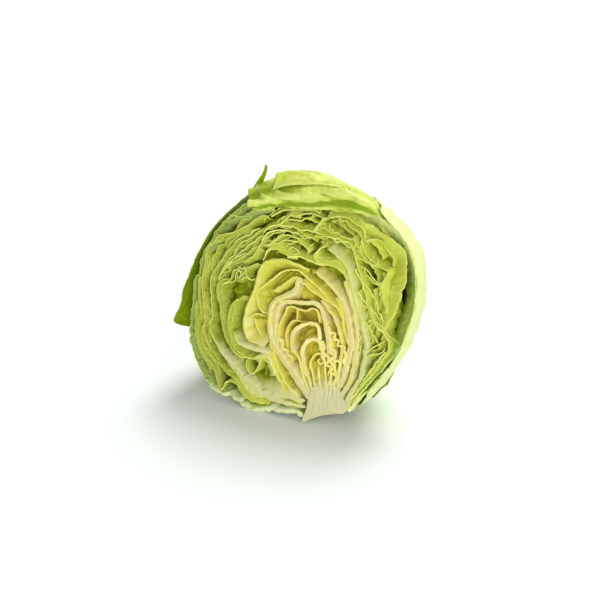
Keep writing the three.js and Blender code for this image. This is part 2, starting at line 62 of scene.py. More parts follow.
def linear(red: int, green: int, blue: int) -> Colour:
    """Turns an sRGB colour of 0 to 255 into linear light.

    Args:
        red: red, 0 to 255.
        green: green, 0 to 255.
        blue: blue, 0 to 255.

    Returns:
        The three linear values, 0 to 1.
    """
    def one(value: int) -> float:
        """One value of 0 to 255, in linear light."""
        share = value / 255.0
        return share / 12.92 if share <= 0.04045 else ((share + 0.055) / 1.055) ** 2.4

    return one(red), one(green), one(blue)


def smooth_step(low: float, high: float, value: np.ndarray) -> np.ndarray:
    """Rises smoothly from 0 at low to 1 at high."""
    share = np.clip((value - low) / (high - low), 0.0, 1.0)
    return share * share * (3.0 - 2.0 * share)


# Odd numbers that scatter a lattice corner and a seed over all directions.
HASH_PRIMES = (73856093, 19349663, 83492791, 2654435761)
HASH_MIX = 1274126177


def lattice_noise(places: np.ndarray, seed: int) -> np.ndarray:
    """Smooth gradient noise of about -1 to 1, the same at every run.

    Args:
        places: an array whose last axis holds three coordinates, in lattice cells.
        seed: picks one of many patterns.

    Returns:
        One value for each place.
    """
    cell = np.floor(places).astype(np.int64)
    inside = places - cell
    fade = inside ** 3 * (inside * (inside * 6.0 - 15.0) + 10.0)
    total = np.zeros(places.shape[:-1])
    for corner in range(8):
        step = np.array([corner & 1, corner >> 1 & 1, corner >> 2 & 1])
        at = cell + step
        mixed = np.bitwise_xor.reduce(at * np.array(HASH_PRIMES[:3]), axis=-1) ^ seed * HASH_PRIMES[3]
        mixed = (mixed ^ mixed >> 13) * HASH_MIX & 0x7FFFFFFF
        turn = (mixed & 0xFFFF) / 65536.0 * 2.0 * math.pi
        rise = (mixed >> 15 & 0xFFFF) / 32768.0 - 1.0
        flat = np.sqrt(np.maximum(0.0, 1.0 - rise * rise))
        gradient = np.stack([flat * np.cos(turn), flat * np.sin(turn), rise], axis=-1)
        weight = np.prod(np.where(step == 1, fade, 1.0 - fade), axis=-1)
        total += weight * np.sum(gradient * (inside - step), axis=-1)
    return total * 1.6


def smooth_curve(points: Sequence[Sequence[float]], step: float) -> np.ndarray:
    """Draws a smooth curve through points, in even steps.

    Args:
        points: the points that the curve passes through.
        step: the wanted distance between neighbours of the result.

    Returns:
        The places along the curve.
    """
    given = np.asarray(points, float)
    padded = np.vstack([2 * given[0] - given[1], given, 2 * given[-1] - given[-2]])
    share = np.linspace(0.0, 1.0, 16, endpoint=False)[:, None]
    pieces = []
    for before, start, end, after in zip(padded, padded[1:], padded[2:], padded[3:]):
        pieces.append(0.5 * (
            2 * start
            + (end - before) * share
            + (2 * before - 5 * start + 4 * end - after) * share ** 2
            + (3 * start - before - 3 * end + after) * share ** 3
        ))
    fine = np.vstack([*pieces, given[-1:]])
    length = np.concatenate([[0.0], np.cumsum(np.linalg.norm(np.diff(fine, axis=0), axis=1))])
    count = max(4, int(round(length[-1] / step)) + 1)
    wanted = np.linspace(0.0, length[-1], count)
    return np.stack([np.interp(wanted, length, fine[:, k]) for k in range(given.shape[1])], axis=1)


@dataclass(frozen=True)
class HeadShape:
    """The round form that every leaf follows: a face outline, swelling and closing behind the face."""

    lean: float = math.radians(15.0)
    face_height: float = 72.8
    middle: Point = (-1.0, 1.0)
    widest: float = 9.0
    back_radius: float = 68.0
    heart_back_radius: float = 12.0
    dome_power: float = 2.4
    deepest: float = 0.86
    tuck: float = 6.0
    sag: float = 2.5
    outline: tuple[Point, ...] = (
        (75, 14), (73.8, 26), (71.5, 36), (67, 45.5), (60, 53.5), (50, 61), (40, 67), (28, 73),
        (14, 77), (0, 78.5), (-14, 76.5), (-28, 71), (-41, 62.5), (-52, 53), (-60.5, 44), (-68, 34),
        (-73.5, 23), (-77.5, 12), (-79.6, 0), (-80, -12), (-79.6, -24), (-78.5, -34), (-76, -43),
        (-71.5, -51), (-65.5, -57.5), (-58, -64), (-50, -69), (-41, -71.5), (-33, -73), (-26, -74),
        (-17, -73), (-8, -71.4), (0, -71), (8, -72), (14, -72.5), (25, -69), (36, -65), (42.5, -59),
        (48, -52), (54, -43.5), (60, -34.5), (66, -24.5), (70.5, -13), (72.6, -3), (74.4, 6),
    )

    def world(self, spot: np.ndarray) -> np.ndarray:
        """Turns places on and behind the face into places in the frame.

        Args:
            spot: places as (u, v, depth) in millimetres.

        Returns:
            The places as (x, y, z) in metres.
        """
        u, v, depth = np.moveaxis(spot, -1, 0)
        behind = smooth_step(6.0, 48.0, depth)
        u = u - self.tuck * behind
        v = v - self.sag * behind * smooth_step(0.0, 60.0, v)
        cos, sin = math.cos(self.lean), math.sin(self.lean)
        return MM * np.stack([u, v * sin + depth * cos, self.face_height + v * cos - depth * sin], -1)

    def outline_radius(self, turn: np.ndarray) -> np.ndarray:
        """The outline's distance from the face's middle.

        Args:
            turn: directions round the face, in radians.

        Returns:
            The distance in each direction.
        """
        spots = np.array(self.outline) - np.array(self.middle)
        turns = np.arctan2(spots[:, 1], spots[:, 0])
        order = np.argsort(turns)
        radii = np.hypot(spots[:, 0], spots[:, 1])[order]
        return np.interp(turn, turns[order], radii, period=2.0 * math.pi)

    def back_radius_at(self, nearness: np.ndarray) -> np.ndarray:
        """How far behind the widest depth a shell closes; nearness is 1 on the outside."""
        return self.heart_back_radius + (self.back_radius - self.heart_back_radius) * nearness

    def swelling(self, depth: np.ndarray, nearness: np.ndarray) -> np.ndarray:
        """Size of a nested shell's section, where it is 1 on the cut face.

        Args:
            depth: how far behind the face the section lies.
            nearness: how near the shell lies to the outside, where it is 1.

        Returns:
            The size at each depth.
        """
        radius = self.back_radius_at(nearness)

        def shrink(at: np.ndarray) -> np.ndarray:
            """A section's size against the widest one."""
            way = np.clip(np.abs((at - self.widest) / radius), 0.0, 0.995)
            return (1.0 - way ** self.dome_power) ** (1.0 / self.dome_power)

        return shrink(depth) / shrink(np.zeros_like(depth))

    def nested(self, spot: np.ndarray) -> np.ndarray:
        """Moves places given as for straight leaves onto the nested round shells.

        Args:
            spot: places as (u, v, depth).

        Returns:
            The moved places.
        """
        away = spot[..., :2] - np.array(self.middle)
        turn = np.arctan2(away[..., 1], away[..., 0])
        nearness = np.clip(np.hypot(away[..., 0], away[..., 1]) / self.outline_radius(turn), 0.0, 1.05)
        limit = self.widest + self.deepest * self.back_radius_at(nearness)
        depth = np.minimum(spot[..., 2], limit)
        size = self.swelling(depth, nearness)
        moved = np.array(self.middle) + away * size[..., None]
        return np.concatenate([moved, depth[..., None]], axis=-1)

    def on_head(self, direction: np.ndarray, height: np.ndarray) -> np.ndarray:
        """Places on the outside of the head, in directions (u, v, depth) from its centre.

        Args:
            direction: unit vectors, in the last axis.
            height: how far each place stands off the head.

        Returns:
            The places as (u, v, depth).
        """
        flat = np.maximum(np.hypot(direction[..., 0], direction[..., 1]), 1e-6)
        turn = np.arctan2(direction[..., 1], direction[..., 0])
        full = self.swelling(np.full_like(turn, self.widest), np.ones_like(turn))
        across = flat / (self.outline_radius(turn) * full)
        behind = np.abs(direction[..., 2]) / self.back_radius
        reach = (across ** self.dome_power + behind ** self.dome_power) ** (-1.0 / self.dome_power)
        reach = reach + height
        return np.stack([
            self.middle[0] + reach * direction[..., 0],
            self.middle[1] + reach * direction[..., 1],
            self.widest + reach * direction[..., 2],
        ], axis=-1)


HEAD = HeadShape()


@dataclass(frozen=True)
class Strip:
    """One run of a leaf: its cut edge on the face, and how it goes on behind the face.

    Args:
        points: the cut edge's middle, from the stem end to the free edge.
        thick: thickness at the stem end and at the free edge, or at even steps from one to the other.
        close: how far the leaf leans in behind the face, at its stem end and at its free edge.
        settle: the depth over which it leans.
        depth: how far it reaches behind the face.
        aim: the place on the face that it leans towards.
        ripple: how far its cut edge wanders from a smooth curve.
        start: how far behind the face its front edge lies.
        echo: whether thin layers lie beside it.
        rooted: how far its stem end is sunk in the core.
    """

    points: tuple[Point, ...]
    thick: tuple[float, ...] = (1.0, 0.9)
    close: Point = (3.0, 3.0)
    settle: float = 7.0
    depth: float = 30.0
    aim: Point = (2.0, -12.0)
    ripple: float = 0.3
    start: float = 0.0
    echo: bool = True
    rooted: float = 0.0

    def thickness(self, share: np.ndarray) -> np.ndarray:
        """Thickness of the cut edge at shares of its length."""
        if len(self.thick) == 2:
            return self.thick[0] + (self.thick[1] - self.thick[0]) * np.sqrt(share)
        return np.interp(share, np.linspace(0.0, 1.0, len(self.thick)), self.thick)


def grid_faces(grid: np.ndarray) -> np.ndarray:
    """The faces between neighbouring vertices of a grid."""
    corners = (grid[:-1, :-1], grid[1:, :-1], grid[1:, 1:], grid[:-1, 1:])
    return np.stack(corners, -1).reshape(-1, 4)


def row_faces(first: np.ndarray, second: np.ndarray) -> np.ndarray:
    """The faces between two rows of vertices."""
    return np.stack([first[:-1], first[1:], second[1:], second[:-1]], axis=-1)


@dataclass
class Sheet:
    """A thin curved solid: a grid of middle places, with a thickness at each."""

    middle: np.ndarray
    half: np.ndarray
    place: np.ndarray
    rib: np.ndarray
    vein: np.ndarray
    cut_front: bool = True

    def sides(self) -> tuple[np.ndarray, np.ndarray]:
        """Where the sheet's two faces lie.

        Returns:
            The grid of places on each face, in metres.
        """
        along = np.gradient(self.middle, axis=0)
        back = np.gradient(self.middle, axis=1)
        normal = np.cross(along, back)
        normal /= np.maximum(np.linalg.norm(normal, axis=-1, keepdims=True), 1e-12)
        offset = normal * self.half[..., None] * MM
        return self.middle + offset, self.middle - offset

    def faces(self) -> tuple[np.ndarray, np.ndarray]:
        """The faces that close the sheet all round.

        Returns:
            The four corners of each face, and which faces are cut edges.
        """
        rows, columns = self.half.shape
        index = np.arange(rows * columns).reshape(rows, columns)
        other = index + rows * columns
        top = grid_faces(index)
        under = grid_faces(other)[:, [0, 3, 2, 1]]
        front = row_faces(other[:, 0], index[:, 0])
        rest = np.vstack([
            row_faces(index[:, -1], other[:, -1]),
            row_faces(index[0], other[0]),
            row_faces(other[-1], index[-1]),
        ])
        faces = np.vstack([top, under, front, rest])
        is_cut = np.zeros(len(faces), bool)
        if self.cut_front:
            is_cut[len(top) + len(under):len(top) + len(under) + len(front)] = True
        return faces, is_cut


class Finish(Enum):
    """The finishes that the pieces take; each value also begins the names of its two materials."""

    CORE = "core"
    HEART = "heart_leaf"
    INNER = "head_leaf"
    WRAPPER = "wrapper_leaf"
    OUTER = "outer_leaf"
    CROWN = "crown_leaf"


@dataclass
class Piece:
    """One visible piece of the head: its sheets joined in one mesh, dressed and placed."""

    name: str
    finish: Finish
    sheets: list[Sheet] = field(default_factory=list)

    def build(self, materials: "Materials") -> bpy.types.Object:
        """Joins the sheets in one mesh and puts it in the scene.

        Args:
            materials: the finishes of all pieces.

        Returns:
            The new object.
        """
        places, ribs, veins, sides, spots, faces, cuts = [], [], [], [], [], [], []
        middle = HEAD.world(np.array([*HEAD.middle, 8.0]))
        count = 0
        for sheet in self.sheets:
            corners, is_cut = sheet.faces()
            faces.append(corners + count)
            cuts.append(is_cut)
            inward = np.linalg.norm(sheet.middle - middle, axis=-1)
            for side in sheet.sides():
                spots.append(side.reshape(-1, 3))
                outside = np.linalg.norm(side - middle, axis=-1) > inward
                sides.append(outside.astype(float).reshape(-1))
                places.append(sheet.place.reshape(-1, 3))
                ribs.append(sheet.rib.reshape(-1))
                veins.append(sheet.vein.reshape(-1))
                count += sheet.half.size
        spots = np.vstack(spots)
        spots[:, 2] = np.maximum(spots[:, 2], FLOOR_GAP * MM)
        mesh = make_mesh(self.name, spots, np.vstack(faces), np.concatenate(cuts))
        add_attribute(mesh, "leaf_place", np.vstack(places))
        add_attribute(mesh, "rib", np.concatenate(ribs))
        add_attribute(mesh, "vein", np.concatenate(veins))
        add_attribute(mesh, "outside", np.concatenate(sides))
        return place_piece(self.name, mesh, self.finish, materials)


def place_piece(
    name: str, mesh: bpy.types.Mesh, finish: Finish, materials: "Materials"
) -> bpy.types.Object:
    """Dresses a mesh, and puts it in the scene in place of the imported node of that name.

    Args:
        name: the node that the piece stands for.
        mesh: the piece's mesh, in the frame.
        finish: the finish that it takes.
        materials: the finishes of all pieces.

    Returns:
        The new object.
    """
    piece = bpy.data.objects.new(f"{name}_grown", mesh)
    bpy.context.scene.collection.objects.link(piece)
    for material in materials.pair(finish):
        mesh.materials.append(material)
    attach(piece, BODY)
    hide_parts(name)
    LOG.info("%s: %d faces", piece.name, len(mesh.polygons))
    return piece


def make_mesh(name: str, spots: np.ndarray, faces: np.ndarray, is_cut: np.ndarray) -> bpy.types.Mesh:
    """Makes a mesh of quads, smooth but for its cut edges, which take the second material.

    Args:
        name: the mesh's name.
        spots: its vertices.
        faces: four corners for each face.
        is_cut: which faces are cut edges.

    Returns:
        The new mesh.
    """
    mesh = bpy.data.meshes.new(name)
    mesh.vertices.add(len(spots))
    mesh.vertices.foreach_set("co", spots.astype(np.float32).ravel())
    mesh.loops.add(faces.size)
    mesh.loops.foreach_set("vertex_index", faces.astype(np.int32).ravel())
    mesh.polygons.add(len(faces))
    mesh.polygons.foreach_set("loop_start", np.arange(0, faces.size, 4, dtype=np.int32))
    mesh.polygons.foreach_set("loop_total", np.full(len(faces), 4, np.int32))
    mesh.polygons.foreach_set("material_index", is_cut.astype(np.int32))
    mesh.polygons.foreach_set("use_smooth", ~is_cut)
    mesh.update(calc_edges=True)
    mesh.validate()
    return mesh


def add_attribute(mesh: bpy.types.Mesh, name: str, values: np.ndarray) -> None:
    """Stores one number or one vector at each vertex of a mesh.

    Args:
        mesh: the mesh to add to.
        name: the attribute's name.
        values: a number for each vertex, or a row of three.
    """
    kind, key = ("FLOAT", "value") if values.ndim == 1 else ("FLOAT_VECTOR", "vector")
    attribute = mesh.attributes.new(name, kind, "POINT")
    attribute.data.foreach_set(key, values.astype(np.float32).ravel())


FLOOR_GAP = 0.05
STEP_ALONG = 0.88
ROWS_PER_MM = 0.52
RIB_THICKNESS = 3.2
BLADE_THICKNESS = 0.9
CORE_MIDDLE = (24.0, -62.0)
# How a cut edge wanders from its curve, in long waves and in short ones.
EDGE_WANDER = 2.3
LONG_WAVE = 4.2
SHORT_WAVE = 1.9
SHORT_SHARE = 0.6
# A leaf that starts this near the core stands upright over the first part of its length.
CORE_REACH = 32.0
UPRIGHT_SHARE = 0.12
# How far behind the cut the crinkles are full and the bow of the edge has gone.
CRINKLED_FROM = 6.0
BOW_DEPTH = 3.0
ROOT_LENGTH = 14.0
# Edges thinner than this are made thinner still, and thickness is uneven in waves of this size.
THIN_EDGE = 2.0
THIN_SHARE = 0.8
THICKNESS_WAVE = 2.6
LEAST_ROWS = 6


@dataclass(frozen=True)
class Crinkle:
    """How far a leaf surface wanders from its smooth form, in broad waves and in fine ones."""

    broad: float = 1.0
    broad_size: float = 11.0
    fine: float = 0.5
    fine_size: float = 3.2

    def height(self, spot: np.ndarray, seed: int) -> np.ndarray:
        """Distance from the smooth form.

        Args:
            spot: the places on the smooth form, in millimetres.
            seed: picks one of many patterns.

        Returns:
            The distance at each place, in millimetres.
        """
        wide = lattice_noise(spot / self.broad_size, seed)
        crease = 1.0 - 2.0 * np.abs(lattice_noise(spot / (0.6 * self.broad_size), seed + 7))
        fine = lattice_noise(spot / self.fine_size, seed + 13)
        return self.broad * (wide + 0.35 * crease) + self.fine * fine


def line_noise(length: np.ndarray, size: float, seed: int) -> np.ndarray:
    """Noise along a line, with waves of about the given size."""
    flat = np.full_like(length, 0.5)
    return lattice_noise(np.stack([length / size, flat, flat + 3.0 * seed], axis=-1), seed)


def edge_thickness(strip: Strip, share: np.ndarray, length: np.ndarray, seed: int) -> np.ndarray:
    """Thickness of a strip's cut edge, uneven along its length.

    Args:
        strip: the run of leaf.
        share: places on it, as shares of its length.
        length: the same places, as distances from its stem end.
        seed: picks how uneven it is.

    Returns:
        The thickness at each place.
    """
    even = strip.thickness(share)
    even = np.where(even < THIN_EDGE, THIN_SHARE * even, even)
    return even * (0.86 + 0.34 * line_noise(length, THICKNESS_WAVE, seed + 11))


def strip_sheet(strip: Strip, seed: int, crinkle: Crinkle) -> Sheet:
    """Carries a strip's cut edge back into the head as a crinkled sheet.

    Args:
        strip: the run of leaf to build.
        seed: picks its crinkles.
        crinkle: how strongly it is crinkled.

    Returns:
        The sheet.
    """
    edge = smooth_curve(strip.points, STEP_ALONG)
    count = len(edge)
    share = np.linspace(0.0, 1.0, count)
    length = share * (count - 1) * STEP_ALONG
    rows = max(LEAST_ROWS, int(round(strip.depth * ROWS_PER_MM)))
    depth = strip.depth * np.linspace(0.0, 1.0, rows + 1) ** 1.35
    tangent = np.gradient(edge, axis=0)
    tangent /= np.linalg.norm(tangent, axis=1, keepdims=True)
    normal = np.stack([-tangent[:, 1], tangent[:, 0]], axis=1)
    wander = line_noise(length, LONG_WAVE, seed) + SHORT_SHARE * line_noise(length, SHORT_WAVE, seed + 5)
    edge = edge + normal * (EDGE_WANDER * strip.ripple * wander)[:, None]
    inward = np.array(strip.aim) - edge
    inward /= np.maximum(np.linalg.norm(inward, axis=1, keepdims=True), 1e-6)
    from_core = math.dist(strip.points[0], CORE_MIDDLE)
    near_stem = np.ones_like(share)
    if from_core < CORE_REACH:
        near_stem = smooth_step(0.0, UPRIGHT_SHARE, share)
    lean = (strip.close[0] + (strip.close[1] - strip.close[0]) * share) * near_stem
    leaning = (inward * lean[:, None])[:, None, :]
    flat = edge[:, None, :] + leaning * np.tanh(depth / strip.settle)[:, None]
    spot = np.concatenate([flat, np.broadcast_to(depth[:, None], (count, rows + 1, 1))], axis=-1)
    grows = smooth_step(0.0, CRINKLED_FROM, depth)
    height = crinkle.height(spot, seed) * grows
    spot[..., :2] += normal[:, None, :] * height[..., None]
    bow = 0.45 + 0.5 * line_noise(length, 9.0, seed + 3)
    spot[..., 2] += strip.start + bow[:, None] * np.exp(-depth / BOW_DEPTH)
    spot[..., 2] += strip.rooted * (1.0 - smooth_step(0.0, ROOT_LENGTH, length))[:, None]
    nested = HEAD.nested(spot)
    at_face = edge_thickness(strip, share, length, seed)
    deep = BLADE_THICKNESS + (at_face - BLADE_THICKNESS) * 0.35
    fade = smooth_step(1.0, 14.0, depth)
    thick = at_face[:, None] * (1.0 - fade) + deep[:, None] * fade
    tip = smooth_step(0.0, 2.5, length[-1] - length)[:, None]
    thick = thick * (0.35 + 0.65 * tip)
    rib = np.clip(at_face / RIB_THICKNESS, 0.0, 1.0)[:, None] * (1.0 - 0.6 * fade)
    across, along = np.broadcast_arrays(depth[None, :] + 2.0, length[:, None])
    vein, _ = leaf_veins(across, along + 20.0, seed)
    place = np.stack([across, along, np.broadcast_to(depth[None, :], across.shape)], axis=-1)
    return Sheet(HEAD.world(nested), thick / 2.0, place, np.broadcast_to(rib, thick.shape), vein * grows)


# The leaves of the head, by node, as runs of cut edge. Places are (u, v) on the cut face.
HEAD_LEAVES: dict[str, tuple[Strip, ...]] = {
    "head_leaf_01": (
        Strip(((-52, -68.4), (-56, -66.8), (-60.5, -62.6), (-73, -45), (-76.6, -29), (-76.8, -3),
               (-75, 4), (-74, 12), (-69, 27), (-57, 45), (-40, 60), (-28, 67), (-14, 71.6), (0, 73.4),
               (14, 72.8), (28, 69)),
              thick=(1.5, 1.2), close=(6, 6), settle=8, depth=50, ripple=0.5),
        Strip(((10, -70), (0, -69.8), (-21, -73.6), (-27, -74), (-32, -72.6), (-36, -70), (-41, -69),
               (-49, -69), (-56, -66.8), (-60, -63)),
              thick=(3.4, 2.6), close=(6, 6), settle=8, depth=46, ripple=0.6),
        Strip(((14, 72.6), (38, 65.4), (49.5, 59), (56.5, 55.5), (67, 45.5), (70.5, 40), (74, 28.5),
               (75.2, 14.5), (73.5, 4.5), (72.2, -5.5), (67.5, -17.5), (49.4, -44.4), (41.6, -55.4),
               (40.4, -58.6)),
              thick=(1.6, 1.6), close=(15, 13), settle=11, depth=50, aim=(26, 4), echo=False),
        Strip(((-57, 46), (-48, 46.5), (-39.5, 52.5), (-27, 56)),
              thick=(1.2, 1.1), close=(5, 5), settle=5, depth=24),
        Strip(((39.4, -60.6), (51, -46), (62, -29.4)),
              thick=(3.0, 1.2), close=(2, 3), settle=6, depth=10, aim=(26, 4), start=0.6, echo=False),
    ),
    "head_leaf_02": (
        Strip(((-14, -68.2), (-22.5, -68), (-27.5, -66), (-38.5, -58.4), (-44.5, -55.6), (-58.5, -47),
               (-64.4, -41.6), (-67.6, -36.4), (-68.2, -31), (-66.8, -24.5), (-67.8, -16), (-71.6, 0),
               (-70.8, 12), (-70.6, 20), (-69, 24.5), (-62, 32), (-53, 35.5), (-44.5, 41.5), (-37, 48),
               (-30, 50)),
              thick=(1.4, 1.2), close=(6, 4), settle=6, depth=46, ripple=0.4),
        Strip(((-60, -42), (-64, -36), (-66.4, -30), (-65.8, -25), (-68.6, -12), (-69, -5))),
        Strip(((-50.6, -66.8), (-56.8, -53.6), (-67.6, -42.6), (-71.6, -27.5), (-70.4, -19), (-74, -4),
               (-73.6, 4)),
              thick=(1.2, 1.0), close=(4, 4), settle=5),
        Strip(((-48.6, -67), (-45.4, -60.8), (-41.6, -59.6), (-38.4, -61.4), (-30.5, -67.8),
               (-17, -69.6)),
              thick=(1.2, 1.2), close=(6, 5), settle=5, depth=26),
        Strip(((-58.6, -55.6), (-68.8, -43), (-71.8, -36), (-74, -20), (-74, -12)),
              close=(7, 6), depth=24),
    ),
    "head_leaf_03": (
        Strip(((11, -64.4), (-9, -65.4), (-18, -63.4), (-33, -56.6), (-53, -41), (-61, -30),
               (-62, -25), (-61.4, -18.5), (-64.6, -5), (-64.2, 7), (-53, 26), (-48, 32.5),
               (-41, 36.5), (-38, 40), (-34.5, 41.5)),
              thick=(2.0, 3.0, 6.4, 7.0, 4.6, 2.0, 1.2, 1.1, 1.1, 1.1, 1.1, 1.1), close=(5, 3),
              depth=44, echo=False),
    ),
    "head_leaf_04": (
        Strip(((9, -61.5), (0, -61.5), (-17, -64.4), (-25, -64.8), (-31, -62), (-48, -46.5)),
              thick=(3.4, 2.2), close=(17, 12), settle=9, aim=(-22, -20), echo=False),
        Strip(((-36, -43.4), (-45.6, -38), (-52.6, -27.5), (-57, -13), (-59.8, -6), (-60.4, -1),
               (-59, 2.4), (-53, 6.6)),
              thick=(1.5, 1.1), close=(7, 6), settle=8, depth=40),
        Strip(((-59.6, 3), (-58.4, 8), (-54.5, 17), (-51, 21.5), (-46.5, 29.5), (-38, 36), (-35.5, 39),
               (-32.5, 41)),
              thick=(1.2, 1.0)),
    ),
    "head_leaf_05": (
        Strip(((-16, -43.6), (-23, -40), (-29, -41.6), (-35, -41.8), (-40.4, -39.4), (-45, -35),
               (-48.5, -28), (-50, -21), (-49.6, -14), (-47.5, -9), (-40, -3)),
              thick=(1.6, 1.1), close=(9, 9), settle=9, depth=38),
        Strip(((-17, -36.6), (-37, -34.6), (-42, -32), (-45, -27)),
              thick=(7.0, 1.8), close=(7, 5), settle=8, depth=26, aim=(-24, -10), ripple=0.15,
              echo=False),
        Strip(((-11.6, -49), (-15.6, -40.6), (-18.4, -37.6), (-23, -37.8), (-27.6, -40)),
              thick=(2.6, 2.0), close=(7, 6), settle=6, depth=18, aim=(-27, -54), ripple=0.2,
              echo=False),
        Strip(((-23.6, -39.6), (-24, -43.4), (-26.2, -49.6), (-28.6, -51.6), (-32, -49.4),
               (-33.6, -46), (-33, -43)),
              thick=(1.2, 1.0), settle=5, depth=16, ripple=0.12, echo=False),
    ),
    "head_leaf_06": (
        Strip(((-57, 1.5), (-53.4, 3.4), (-50.5, 6.5), (-50, 10.5), (-47.5, 12.6), (-45, 12.2),
               (-44, 9.5), (-45.6, 7.6), (-47.2, 9.2)),
              close=(2, 2), depth=16, ripple=0.1),
        Strip(((-43.4, 6.4), (-41, 8.8), (-39, 9), (-36.8, 7.6), (-34, 9.5)),
              depth=18, ripple=0.1),
        Strip(((-46.6, 14.6), (-43, 14.2), (-33, 19.5)),
              close=(4, 4), settle=5, depth=20),
        Strip(((-43, 14.5), (-41, 13.5), (-41, 11.5), (-38.6, 9.4)),
              thick=(0.9, 0.9), depth=14),
    ),
    "head_leaf_07": (
        Strip(((-54.5, 13), (-47.5, 22.5), (-35, 34.5), (-31, 37.5)),
              thick=(1.1, 1.0), depth=28, ripple=0.5),
        Strip(((-57.5, 10.5), (-54.5, 15.5), (-42.4, 25)),
              depth=22, ripple=0.5),
        Strip(((-59, 7), (-56.5, 11.5), (-52, 16.2), (-42.5, 23), (-38.5, 27.5), (-34.4, 30)),
              thick=(1.1, 1.0), close=(3, 4), depth=26, ripple=0.5),
        Strip(((-44, 18), (-37.4, 23.4), (-35, 27), (-32, 29)),
              close=(4, 4), settle=5, depth=20),
    ),
    "head_leaf_08": (
        Strip(((39.4, -57.4), (44, -48.4), (58.4, -25), (61, -14), (58.6, -9.6), (51.4, -3.8),
               (41.8, 11.4), (33.5, 32), (28.5, 40), (21, 43), (12, 43.5), (5.5, 44.6), (-13.5, 45.5),
               (-24, 44.6), (-29, 42), (-31.5, 38)),
              thick=(2.2, 1.2), close=(-3, -5), settle=8, depth=42, ripple=0.35),
        Strip(((60, -19), (56.5, -25), (53.5, -28.5), (44.6, -46)),
              thick=(1.4, 1.1), close=(2, -4), settle=8, depth=26, aim=(36, -30)),
    ),
    "head_leaf_09": (
        Strip(((56.5, -8), (61.4, 3), (64.6, 15), (64.4, 19), (66, 22.5), (66.5, 27.5), (64.4, 42),
               (56.5, 48.6), (45.5, 52.5), (41, 55), (30.5, 59)),
              thick=(1.3, 1.1), close=(32, 18), settle=14, depth=36, aim=(30, 12), ripple=0.4,
              echo=False),
        Strip(((38, 45), (41, 47.4), (45, 47.6), (49, 46.4)),
              close=(4, 4), depth=18),
    ),
    "head_leaf_10": (
        Strip(((56, 4), (55.4, 9.6), (51.4, 19), (54, 28.6), (49.5, 31), (40, 36), (35.5, 42),
               (35, 47)),
              thick=(1.3, 1.0), close=(-4, -5), depth=34, aim=(30, 14)),
        Strip(((45, 30), (34.5, 38), (29, 46)),
              thick=(1.1, 1.0), close=(-4, -4), depth=28, aim=(20, 20)),
        Strip(((52.5, 19.5), (44.5, 24.5), (42, 27.5), (38, 29.5), (34.5, 30)),
              thick=(1.1, 0.9), close=(5, 4), depth=24, aim=(30, 8)),
        Strip(((44, 37.5), (42.4, 34), (44.6, 31.4), (47.4, 33), (46.6, 36)),
              thick=(0.9, 0.9), depth=12),
    ),
    "head_leaf_11": (
        Strip(((37.5, 47.5), (33.5, 53), (28.5, 54.4), (24.5, 57), (21, 57.4), (10.5, 55)),
              thick=(1.3, 1.2), close=(14, 12), settle=10, aim=(8, 110)),
        Strip(((3, 45.5), (7, 52.5), (10.5, 55)),
              thick=(2.2, 1.8), depth=20),
        Strip(((34, 41), (30, 44.5), (10, 52.4)),
              thick=(1.2, 1.0), close=(2, 2), depth=26, start=9.0),
    ),
    "head_leaf_12": (
        Strip(((-27.5, 49.5), (-18.5, 55), (-2, 57.6), (6, 57)),
              thick=(1.1, 1.0), close=(9, 9), settle=8, depth=24, aim=(-6, 110)),
        Strip(((-20.5, 45.4), (-15, 51.5), (-11, 52.4), (-7, 51.6)),
              thick=(1.1, 1.0), close=(7, 7), settle=6, depth=20, aim=(-12, 100)),
        Strip(((-10, 53.4), (-0.5, 56), (0.9, 54.8), (-1.5, 53), (-6, 52.4)),
              thick=(0.9, 0.8), close=(1, 1), depth=10, ripple=0.1),
    ),
    "head_leaf_13": (
        Strip(((-34, 27), (-33, 31), (-28, 39.5), (-21.5, 42), (-14, 42.6), (0, 41.4), (6, 39.4)),
              thick=(1.3, 1.1), close=(3, -4)),
        Strip(((-31, 31), (-26, 33.5), (-18.5, 39), (-9.5, 39.5), (-5.5, 37.5), (0, 32.6), (-1.4, 30)),
              thick=(1.2, 1.1), close=(5, -4), settle=5, depth=26, aim=(-14, 20)),
    ),
    "head_leaf_14": (
        Strip(((-30, 22), (-25.5, 29), (-17.5, 28.5), (-11, 26), (-6, 26.4)),
              thick=(1.2, 1.1), close=(9, 9), depth=24, aim=(-14, 70)),
        Strip(((-13, 30.5), (-11.5, 33), (-8.5, 33), (-5.5, 31), (-9, 29), (-11.5, 29.5)),
              thick=(0.9, 0.9), close=(2, 2), depth=12, ripple=0.1),
    ),
    "head_leaf_15": (
        Strip(((37.4, -58.8), (38.8, -53.2), (44.8, -38), (46, -22), (45, -15), (41, -4), (34.4, 9),
               (29, 22.4), (26, 28.6), (20.4, 33), (13, 36)),
              thick=(3.2, 2.4), close=(-2, -6), depth=36, echo=False),
        Strip(((28, 20.5), (23, 26), (11, 26.8), (6, 28), (5, 31.4), (8, 35), (12, 37.5)),
              thick=(1.2, 1.1), close=(11, 6), depth=24, aim=(18, 60)),
        Strip(((40.3, -37), (39.4, -24), (42, -13.6), (44, -11.5)),
              thick=(1.2, 1.0), depth=22),
        Strip(((42, -35), (42.4, -28), (43.4, -16.6)),
              depth=18),
        Strip(((33, 27.4), (37.5, 22.4), (42, 18.6), (50, 9.4), (56, -3)),
              thick=(1.2, 1.0), close=(6, 6), depth=28, aim=(20, -6), ripple=0.45),
        Strip(((36, 15), (40.5, 9.5), (49, 4), (52.6, -0.6)),
              thick=(1.1, 1.0), close=(5, 5), settle=5, depth=22, aim=(26, -10), ripple=0.45),
        Strip(((33, 8), (50, -10), (54, -15.4)),
              thick=(1.2, 1.0), close=(5, 5), settle=5, depth=24, aim=(24, -20), ripple=0.45),
